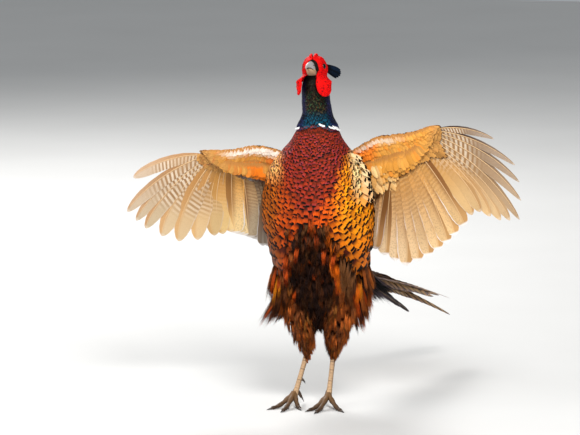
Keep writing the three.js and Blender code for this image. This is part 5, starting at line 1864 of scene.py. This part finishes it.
def build_coverts(name, wing):
    left = name == "left"
    below, above, plain = (partial(tint, name) for tint in (under_tint, upper_tint, axillary_tint))
    under, upper = Coat(), Coat()
    for k, v in enumerate(UNDER_ROWS):
        width = 6 + 5 * smooth(v, 0.05, 0.5)
        length = 12 + 14 * smooth(v, 0.05, 0.5)
        length = length * (1.15 if left else 0.95 - 0.4 * smooth(v, 0.5, 0.8))
        # The marks on the under rows are painted shadow lines between the rows.
        covert_row(under, wing, -1, v, int(190 / width / 0.5) - k % 2, length, width, below,
                   0.4 * smooth(v, 0.1, 0.3), end=0.92 - (0.22 if left else 0.12) * v, lift=0.07,
                   sink=0.2)
    for k, v in enumerate(np.linspace(0.02, 0.93, 10)):
        covert_row(upper, wing, 1, v, 36 - k % 2, 14 + 6 * v, 9.5, above, 0.5, sink=0.4)
    for step, start, share, lift, width, mark_below, mark_above in COVERT_TIERS:
        covert_tier(under, wing, -1, step, start, COVERT_REACH[name], share, lift, width,
                    below, mark_below[name])
        covert_tier(upper, wing, 1, step, start, UPPER_REACH, share, lift, width + 2,
                    above, mark_above)
    for v, length in AXILLARIES[name]:
        covert_row(under, wing, -1, v, 16, length, 9, plain, 0.1, start=0.05, end=0.42,
                   lift=0.09, lie=axillary_way)
    under.build(f"under_coverts_{name}", COVERT, "wing_feathers")
    upper.build(f"upper_coverts_{name}", COVERT, "wing_feathers")


def arm_rings(wing, inset=3.2):
    """Sections of the arm, inside its coverts."""
    t = np.linspace(0, 1, 24)
    angle = turns(16)
    lead, rear = arm_lines(wing)
    v = 0.03 + 0.66 * (0.5 - 0.5 * np.cos(angle))
    rings = lead(t)[:, None] * (1 - v)[None, :, None] + rear(t)[:, None] * v[None, :, None]
    depth = np.maximum(arm_thick(t) * 0.5 - inset, 1.2)
    rings[..., 1] += depth[:, None] * np.sin(angle)[None, :]
    return rings * [wing["mirror"], 1, 1]


# Tail

def tail_line():
    root, tip = vector(TAIL_ROOT), vector(TAIL_TIP)
    return Arc(root, (root + tip) / 2 + [0, 0, 14], tip)


def tail_axes(t):
    along = tail_line().along(t)
    across = unit(np.array([along[1], -along[0], 0]))
    return along, across, np.cross(across, along)


# Tail feathers: length as a share of the whole, how far the tip lies aside and below the
# tail's line, roll about the feather's own length in degrees, width and strength of the bars
TAIL_FEATHERS = [
    (0.86, -6, 2, -8, 36, 0.9), (0.83, -10, -3, -14, 34, 0.9), (0.72, -22, -8, -20, 30, 0.9),
    (0.60, -34, -14, -26, 28, 0.9), (0.48, -40, -20, -30, 24, 0.9), (0.36, -42, -24, -34, 22, 0.9),
    (0.36, 32, -44, 60, 15, 0.0), (0.46, 26, -48, 56, 15, 0.0), (0.47, 20, -24, 48, 28, 0.9),
    (0.50, 14, -12, 46, 32, 0.9), (0.66, 12, -8, 44, 34, 0.9), (0.885, 6, -27, 38, 34, 0.95),
    (0.89, 1, 1, 12, 32, 0.6),
]


def tail_curve(length, swing, drop):
    """Curve of one tail feather, with the ways across and up from the tail."""
    _, across, up = tail_axes(0.3)
    line = tail_line()
    ends = []
    for s in (0, 0.5, 1):
        t = 0.12 + length * s
        ends.append(line(t) + across * (swing * s + np.sign(swing) * 4)
                    + up * (drop * (0.1 + 0.9 * s ** 1.3)))
    middle = 2 * ends[1] - (ends[0] + ends[2]) / 2
    return Arc(ends[0], middle, ends[2]), across, up


def tail_tint(plume, bars):
    """Colour of each point of a tail feather, with the strength of its bars."""
    web = smooth(np.abs(plume.s), 0.5, 0.8)[:, None]
    colour = mix(srgb("#b88c5c"), srgb("#dcbc8c"), smooth(plume.t, 0.5, 1.0))
    colour = colour * (1 - web) + srgb("#82748a") * web
    if bars < 0.7:
        colour = mix(colour, srgb("#5a4c58"), 0.6 * smooth(-plume.t, -0.95, -0.7))
    if not bars:
        colour = mix(srgb("#6a5a66"), srgb("#2a2228"), smooth(plume.t, 0.5, 0.95))
    return marked(colour, bars)[None]


def build_tail():
    coat, quills = Coat(), []
    outline = Profile(TAIL_OUTLINE)
    for k, (length, swing, drop, roll, width, bars) in enumerate(TAIL_FEATHERS):
        curve, across, up = tail_curve(length, swing, drop)
        turn = math.radians(roll)
        side = across * math.cos(turn) - up * math.sin(turn)
        plume = TAIL_PLUME if bars else HOOKED_PLUME
        points = long_feather(plume, curve, side, width, cup=0.12, thick=0.7, fray=0.08)
        coat.add(plume, points[None], tail_tint(plume, bars), *strip(k, len(TAIL_FEATHERS)))
        quills.append(shaft_body(curve, side, width, 0.0, outline, 1.5))
    coat.build("tail_vanes", TAIL, "tail_feathers", "tail")
    piece = joined("tail_quills", quills)
    paint_all(piece, "#8a6a48")
    finished(piece, SHAFT, "tail_feathers")


# Half width and half thickness of the rump, from the body along the tail's line
rump_half, rump_thick = columns([(0, 36, 32), (0.1, 33, 24), (0.2, 26, 15), (0.32, 15, 7),
                                 (0.38, 9, 4)])


def rump_point(t, angle, out=0.0):
    line = tail_line()
    places = []
    for at, turn in zip(np.atleast_1d(t), np.atleast_1d(angle)):
        _, across, up = tail_axes(at)
        places.append(line(at) + across * (rump_half(at) + out) * math.cos(turn)
                      + up * ((rump_thick(at) + out) * math.sin(turn) - 1))
    return np.array(places)


def rump_girth(t):
    return np.pi * (rump_half(t) + rump_thick(t))


def build_rump_coat():
    coat = Coat()
    t, angle = staggered(np.linspace(0.0, 0.36, 15), rump_girth, 9, 8)
    root = rump_point(t, angle, -2)
    out = unit(rump_point(t, angle, 2) - root)
    way = rump_point(t + 0.02, angle) - rump_point(t, angle)
    above = smooth(np.sin(angle), -0.3, 0.3)
    tint = mix(srgb("#3a241a"), mix(srgb("#7a4628"), srgb("#6c6454"), rng.random(len(t))), above)
    tint = marked(tint * (1 + spread(-0.2, 0.2, len(t)))[:, None], 0.3)
    points = grow(COVERT_PLUME, root, way, out, 40 + 90 * t, 15, lift=0.1, droop=-0.1, cup=0.2)
    coat.add(COVERT_PLUME, points, tint, spot(round_map(angle), 0.02 + t * 2.5))
    coat.build("rump_coat", COVERT, "tail_feathers")


def build_under_tail():
    """Dark loose barbs that hang below the foot of the tail."""
    coat = Coat()
    count = 60
    t = spread(0.02, 0.34, count)
    angle = np.radians(spread(-150, -20, count))
    root = rump_point(t, angle, -3)
    along = np.array([tail_axes(at)[0] for at in t])
    way = along + [0.1, 0, -0.4] + spread(-0.12, 0.12, (count, 3))
    out = unit(rump_point(t, angle, 2) - root)
    tint = pick((5, 2, 1), (srgb("#181314"), srgb("#382a2a"), srgb("#6c5c64")), count)
    locks(coat, root, way, out, spread(50, 95, count), spread(9, 16, count), tint,
          spot(round_map(angle), 0.02 + t * 2.5), per=22, lift=0.1, fine=1.5)
    coat.build("under_tail_coat", STRAND, "tail_feathers")


# Legs

def leg_line(leg):
    joint, ankle = vector(leg["toe_joint"]), vector(leg["ankle"])
    return Line([joint, (joint + ankle) / 2, ankle])


def toe_line(joint, tip):
    start = np.array(joint, float)
    end = np.array([tip[0], tip[1], 0.0])
    end = end + (start - end) * CLAW_LENGTH / np.linalg.norm(end - start)
    end[2] = 1.9
    near = start + (end - start) * 0.3
    far = start + (end - start) * 0.65
    near[2], far[2], start[2] = 13, 5, 21
    return Line([start, near, far, end])


def hind_line(leg, side):
    start = vector(leg["toe_joint"]) + [-side * 1, 3, 14]
    return Line([start, start + [-side * 4, 10, -5], start + [-side * 7, 17, -14]])


def claw_line(line):
    tip, along = line(1.0), line.along(1.0)
    middle = tip + along * CLAW_LENGTH * 0.55 + [0, 0, 1.3]
    end = tip + along * CLAW_LENGTH
    end[2] = max(end[2] - 1, 0.7)
    return Arc(tip - along * 1.5, middle, end)


def plated(base, plates, depth, front):
    """Radius of a leg or toe whose front is stepped in plates, the rest in small scales."""
    def radius(t, angle):
        saw = 1 - (t * plates) % 1
        ahead = smooth(np.cos(angle - front), 0.1, 0.6)
        small = np.sin(t * plates * 2.6 * math.pi) * np.sin(angle * 7)
        return base(t) + depth * (ahead * (saw ** 0.6 - 0.5) + (1 - ahead) * 0.35 * small)
    return radius


def leg_tint(rings, plates, pale, dark, share, front):
    """Colour of a scaled tube, darker round its back and sides as painted shade, and marked low in
    the grooves between plates, where shade is painted.
    """
    steps, sides = rings.shape[:2]
    t = np.linspace(0, 1, steps)[:, None]
    angle = turns(sides)[None, :]
    colour = mix(srgb(pale), srgb(dark), share[0] + share[1] * t + 0 * angle)
    # Painted shade: the back and sides of each tube darker than the plated front.
    shaded_round_back = smooth(-np.cos(angle - front), -0.85, 0.0) + 0 * t
    colour = mix(colour, srgb("#402c1e"), shaded_round_back * 0.8)
    return marked(colour, smooth(1 - (t * plates) % 1, 0.0, 0.3) + 0 * angle)


def scaled_part(line, base, plates, depth, front, steps, sides, pale, dark, share):
    """Rings and tints of one scaled tube, none of it below the sole."""
    rings = tube_rings(line, plated(base, plates, depth, front), steps, sides)
    rings[..., 2] = np.maximum(rings[..., 2], LOWEST_HORN)
    return rings, leg_tint(rings, plates, pale, dark, share, front)


def tube_piece(name, parts, material, slot, *nodes):
    """One object of several ringed tubes, each rings and tints of the same shape."""
    points, faces, tints, offset = [], [], [], 0
    for rings, tint in parts:
        first, last = rings[:1].mean(1, keepdims=True), rings[-1:].mean(1, keepdims=True)
        rings = np.concatenate([np.broadcast_to(first, rings[:1].shape), rings,
                                np.broadcast_to(last, rings[:1].shape)])
        tint = np.concatenate([tint[:1], tint, tint[-1:]])
        points.append(rings.reshape(-1, 3))
        tints.append(tint.reshape(-1, 4))
        faces.append(ring_faces(*rings.shape[:2]) + offset)
        offset += rings.shape[0] * rings.shape[1]
    piece = mesh_object(name, np.concatenate(points), np.concatenate(faces))
    set_tint(piece.data, np.concatenate(tints))
    weld(piece)
    return finished(piece, material, slot, *nodes)


def build_claw(node, curve, radius, steps=24, sides=16):
    horn = tube_rings(curve, lambda t, angle: radius * (1 - 0.88 * t ** 1.1) + 0 * angle,
                      steps, sides)
    horn[..., 2] = np.maximum(horn[..., 2], LOWEST_HORN)
    t = np.linspace(0, 1, steps)[:, None]
    colour = mix(srgb("#5a4a3e"), srgb("#1a1412"), smooth(t, 0.1, 0.8) + np.zeros((1, sides)))
    tube_piece(f"{node}_horn", [(horn, marked(colour))], CLAW, "claw_horn", node)


def spur_line(shank, name):
    root = shank(0.4)
    away = unit(vector(SPUR_AWAY[name]))
    return Arc(root + away * 2, root + away * (SHANK_RADIUS + 4) + [0, 0, -1.5],
               root + away * (SHANK_RADIUS + 7) + [0, 0, -8.5])


shank_radius = Profile([(0, 6.0), (0.12, 4.8), (0.5, SHANK_RADIUS), (0.85, 4.3), (1, 5)])


def toe_radius(t):
    return (TOE_RADIUS - 2 * t) * (1 + 0.1 * np.cos(t * np.pi * 6))


def hind_radius(t):
    return 3.6 - 1.4 * t


# Scaled tubes: radius, plates and their depth, bearing of the plates, steps along and round,
# colours of root and tip, and the share of the second colour at the root and added to the tip
SHANK_SCALES = (shank_radius, 18, 0.9, -math.pi / 2, 163, 28, "#c8a47c", "#8a6c54", (0.1, 0.4))
TOE_SCALES = (toe_radius, 13, 0.5, math.pi / 2, 105, 20, "#785632", "#281c12", (0.1, 0.8))
HIND_SCALES = (hind_radius, 7, 0.4, math.pi / 2, 57, 18, "#7c5c40", "#2c1e14", (0.4, 0.6))


def build_leg(name, side):
    shank, hind = leg_line(LEGS[name]), hind_line(LEGS[name], side)
    toes = {toe: toe_line(LEGS[name]["toe_joint"], tip) for toe, tip in TOE_TIPS[name].items()}
    parts = [scaled_part(shank, *SHANK_SCALES)]
    parts += [scaled_part(toe, *TOE_SCALES) for toe in toes.values()]
    parts += [scaled_part(hind, *HIND_SCALES)]
    tube_piece(f"leg_scales_{name}", parts, SCALE, "leg_scales",
               f"shank_{name}", f"foot_{name}", f"hind_toe_{name}")
    for toe, line in toes.items():
        build_claw(f"claw_{toe}_{name}", claw_line(line), 2.2)
    build_claw(f"claw_hind_{name}", claw_line(hind), 2.0)
    build_claw(f"spur_{name}", spur_line(shank, name), 3.0)


# Skin

def body_rings():
    z = np.concatenate([np.linspace(134, 200, 16), np.linspace(204, 556, 70)])
    bearing = turns(48)
    inset = np.interp(z, [134, 470, 500], [-COAT_DEPTH, -COAT_DEPTH, -1.8])
    return body_point(z[:, None] + 0 * bearing, bearing + 0 * z[:, None], inset[:, None])


def skin_bodies():
    """Rings of body, head, thighs, arms and rump, all a little inside the coat."""
    p, angle = np.linspace(-26.5, 22, 30)[:, None], turns(32)[None, :]
    head = on_head(*skull_point(p + 0 * angle, angle + 0 * p, -0.7))
    thighs = [tube_rings(thigh_line(leg), lambda t, a: thigh_radius(t) - 1.5 + 0 * a, 24, 20)
              for leg in LEGS.values()]
    arms = [arm_rings(wing) for wing in WINGS.values()]
    rump = [rump_point(np.full(24, at), turns(24), -2.5) for at in np.linspace(0, 0.37, 12)]
    return [body_rings(), head, *thighs, *arms, np.array(rump)]


def fuse(piece):
    """One closed surface round all bodies of a piece."""
    remesh = piece.modifiers.new("one_skin", "REMESH")
    remesh.mode = "VOXEL"
    remesh.voxel_size = 0.0028
    remesh.use_smooth_shade = True
    soften = piece.modifiers.new("soften", "SMOOTH")
    soften.factor = 0.5
    soften.iterations = 3
    depsgraph = bpy.context.evaluated_depsgraph_get()
    made = bpy.data.meshes.new_from_object(piece.evaluated_get(depsgraph))
    piece.modifiers.clear()
    piece.data = made


def skin_tint(places):
    """Colour of the coat above, plain on the arms and dark below and at the head."""
    x, y, z = places.T
    tint = body_tint(np.clip(z, 134, 556), np.arctan2(body_centre(z) - y, x - body_mid(z)))
    colour = tint[:, :3]
    far = np.abs(x - body_mid(z)) - body_half(z)
    colour = mix(colour, srgb("#b98550"), smooth(far, 2, 14) * (z > 300))
    colour = mix(colour, CHESTNUT * 0.6, smooth(150 - z, 0, 30))
    colour = mix(colour, srgb("#060908"), smooth(z, 545, 552))
    return marked(colour, tint[:, 3])


def build_skin():
    piece = joined("skin", [closed_loft(rings) for rings in skin_bodies()])
    fuse(piece)
    set_tint(piece.data, skin_tint(places_of(piece.data)))
    finished(piece, SKIN, "breast_feathers", "head")


# Stage

def build_camera():
    a, e = CAMERA_TURN, CAMERA_RISE
    right = np.array([math.cos(a), math.sin(a), 0])
    up = np.array([-math.sin(a) * math.sin(e), math.cos(a) * math.sin(e), math.cos(e)])
    back = np.array([math.sin(a) * math.cos(e), -math.cos(a) * math.cos(e), math.sin(e)])
    target = (right * (IMAGE_SIZE[0] / 2 - FEET_PIXEL[0])
              + up * (FEET_PIXEL[1] - IMAGE_SIZE[1] / 2)) * PIXEL_SIZE
    data = bpy.data.cameras.new("camera")
    data.sensor_width = SENSOR_WIDTH
    data.lens = SENSOR_WIDTH * CAMERA_DISTANCE / (IMAGE_SIZE[0] * PIXEL_SIZE)
    data.clip_end = 100
    camera = bpy.data.objects.new("camera", data)
    bpy.context.scene.collection.objects.link(camera)
    camera.location = Vector(placed(target + back * CAMERA_DISTANCE))
    camera.rotation_mode = "QUATERNION"
    camera.rotation_quaternion = Vector(-back).to_track_quat("-Z", "Y")
    bpy.context.scene.camera = camera


def build_floor():
    corners = np.array([[-1, -1, 0], [1, -1, 0], [1, 1, 0], [-1, 1, 0]]) * FLOOR_REACH
    floor = mesh_object("floor", corners, [[0, 1, 2, 3]])
    nodes = Nodes("floor")
    colour = nodes.blend(nodes.noise(3, 2), (0.62, 0.61, 0.59), (0.68, 0.67, 0.65))
    floor.data.materials.append(nodes.set(Base_Color=colour, Roughness=0.8))


def build_light():
    world = bpy.data.worlds.new("studio")
    bpy.context.scene.world = world
    world.use_nodes = True
    sky = world.node_tree.nodes["Background"]
    sky.inputs["Color"].default_value = (0.9, 0.95, 1.0, 1)
    sky.inputs["Strength"].default_value = 0.38
    for name, (place, aim, size, power) in LAMPS.items():
        data = bpy.data.lights.new(name, "AREA")
        data.size = size
        data.energy = power
        lamp = bpy.data.objects.new(name, data)
        bpy.context.scene.collection.objects.link(lamp)
        lamp.location = Vector(placed(place))
        way = Vector(aim) - Vector(place)
        lamp.rotation_mode = "QUATERNION"
        lamp.rotation_quaternion = way.to_track_quat("-Z", "Y")
    bpy.context.scene.view_settings.view_transform = "Standard"


build_camera()
build_floor()
build_light()
build_skin()
build_breast_coat()
build_neck_coat()
build_ring()
build_belly_coat()
build_flank_coat()
build_shoulder_spray()
build_head_coat()
build_bill()
build_nostrils()
build_tail()
build_rump_coat()
build_under_tail()
for side_name, hand in (("left", 1), ("right", -1)):
    build_thigh_coat(side_name, LEGS[side_name])
    build_face(side_name, hand)
    build_eye(side_name, hand)
    build_ear_tuft(side_name, hand)
    build_flights(side_name, WINGS[side_name])
    build_coverts(side_name, WINGS[side_name])
    build_tertials(side_name, WINGS[side_name])
    build_leg(side_name, hand)
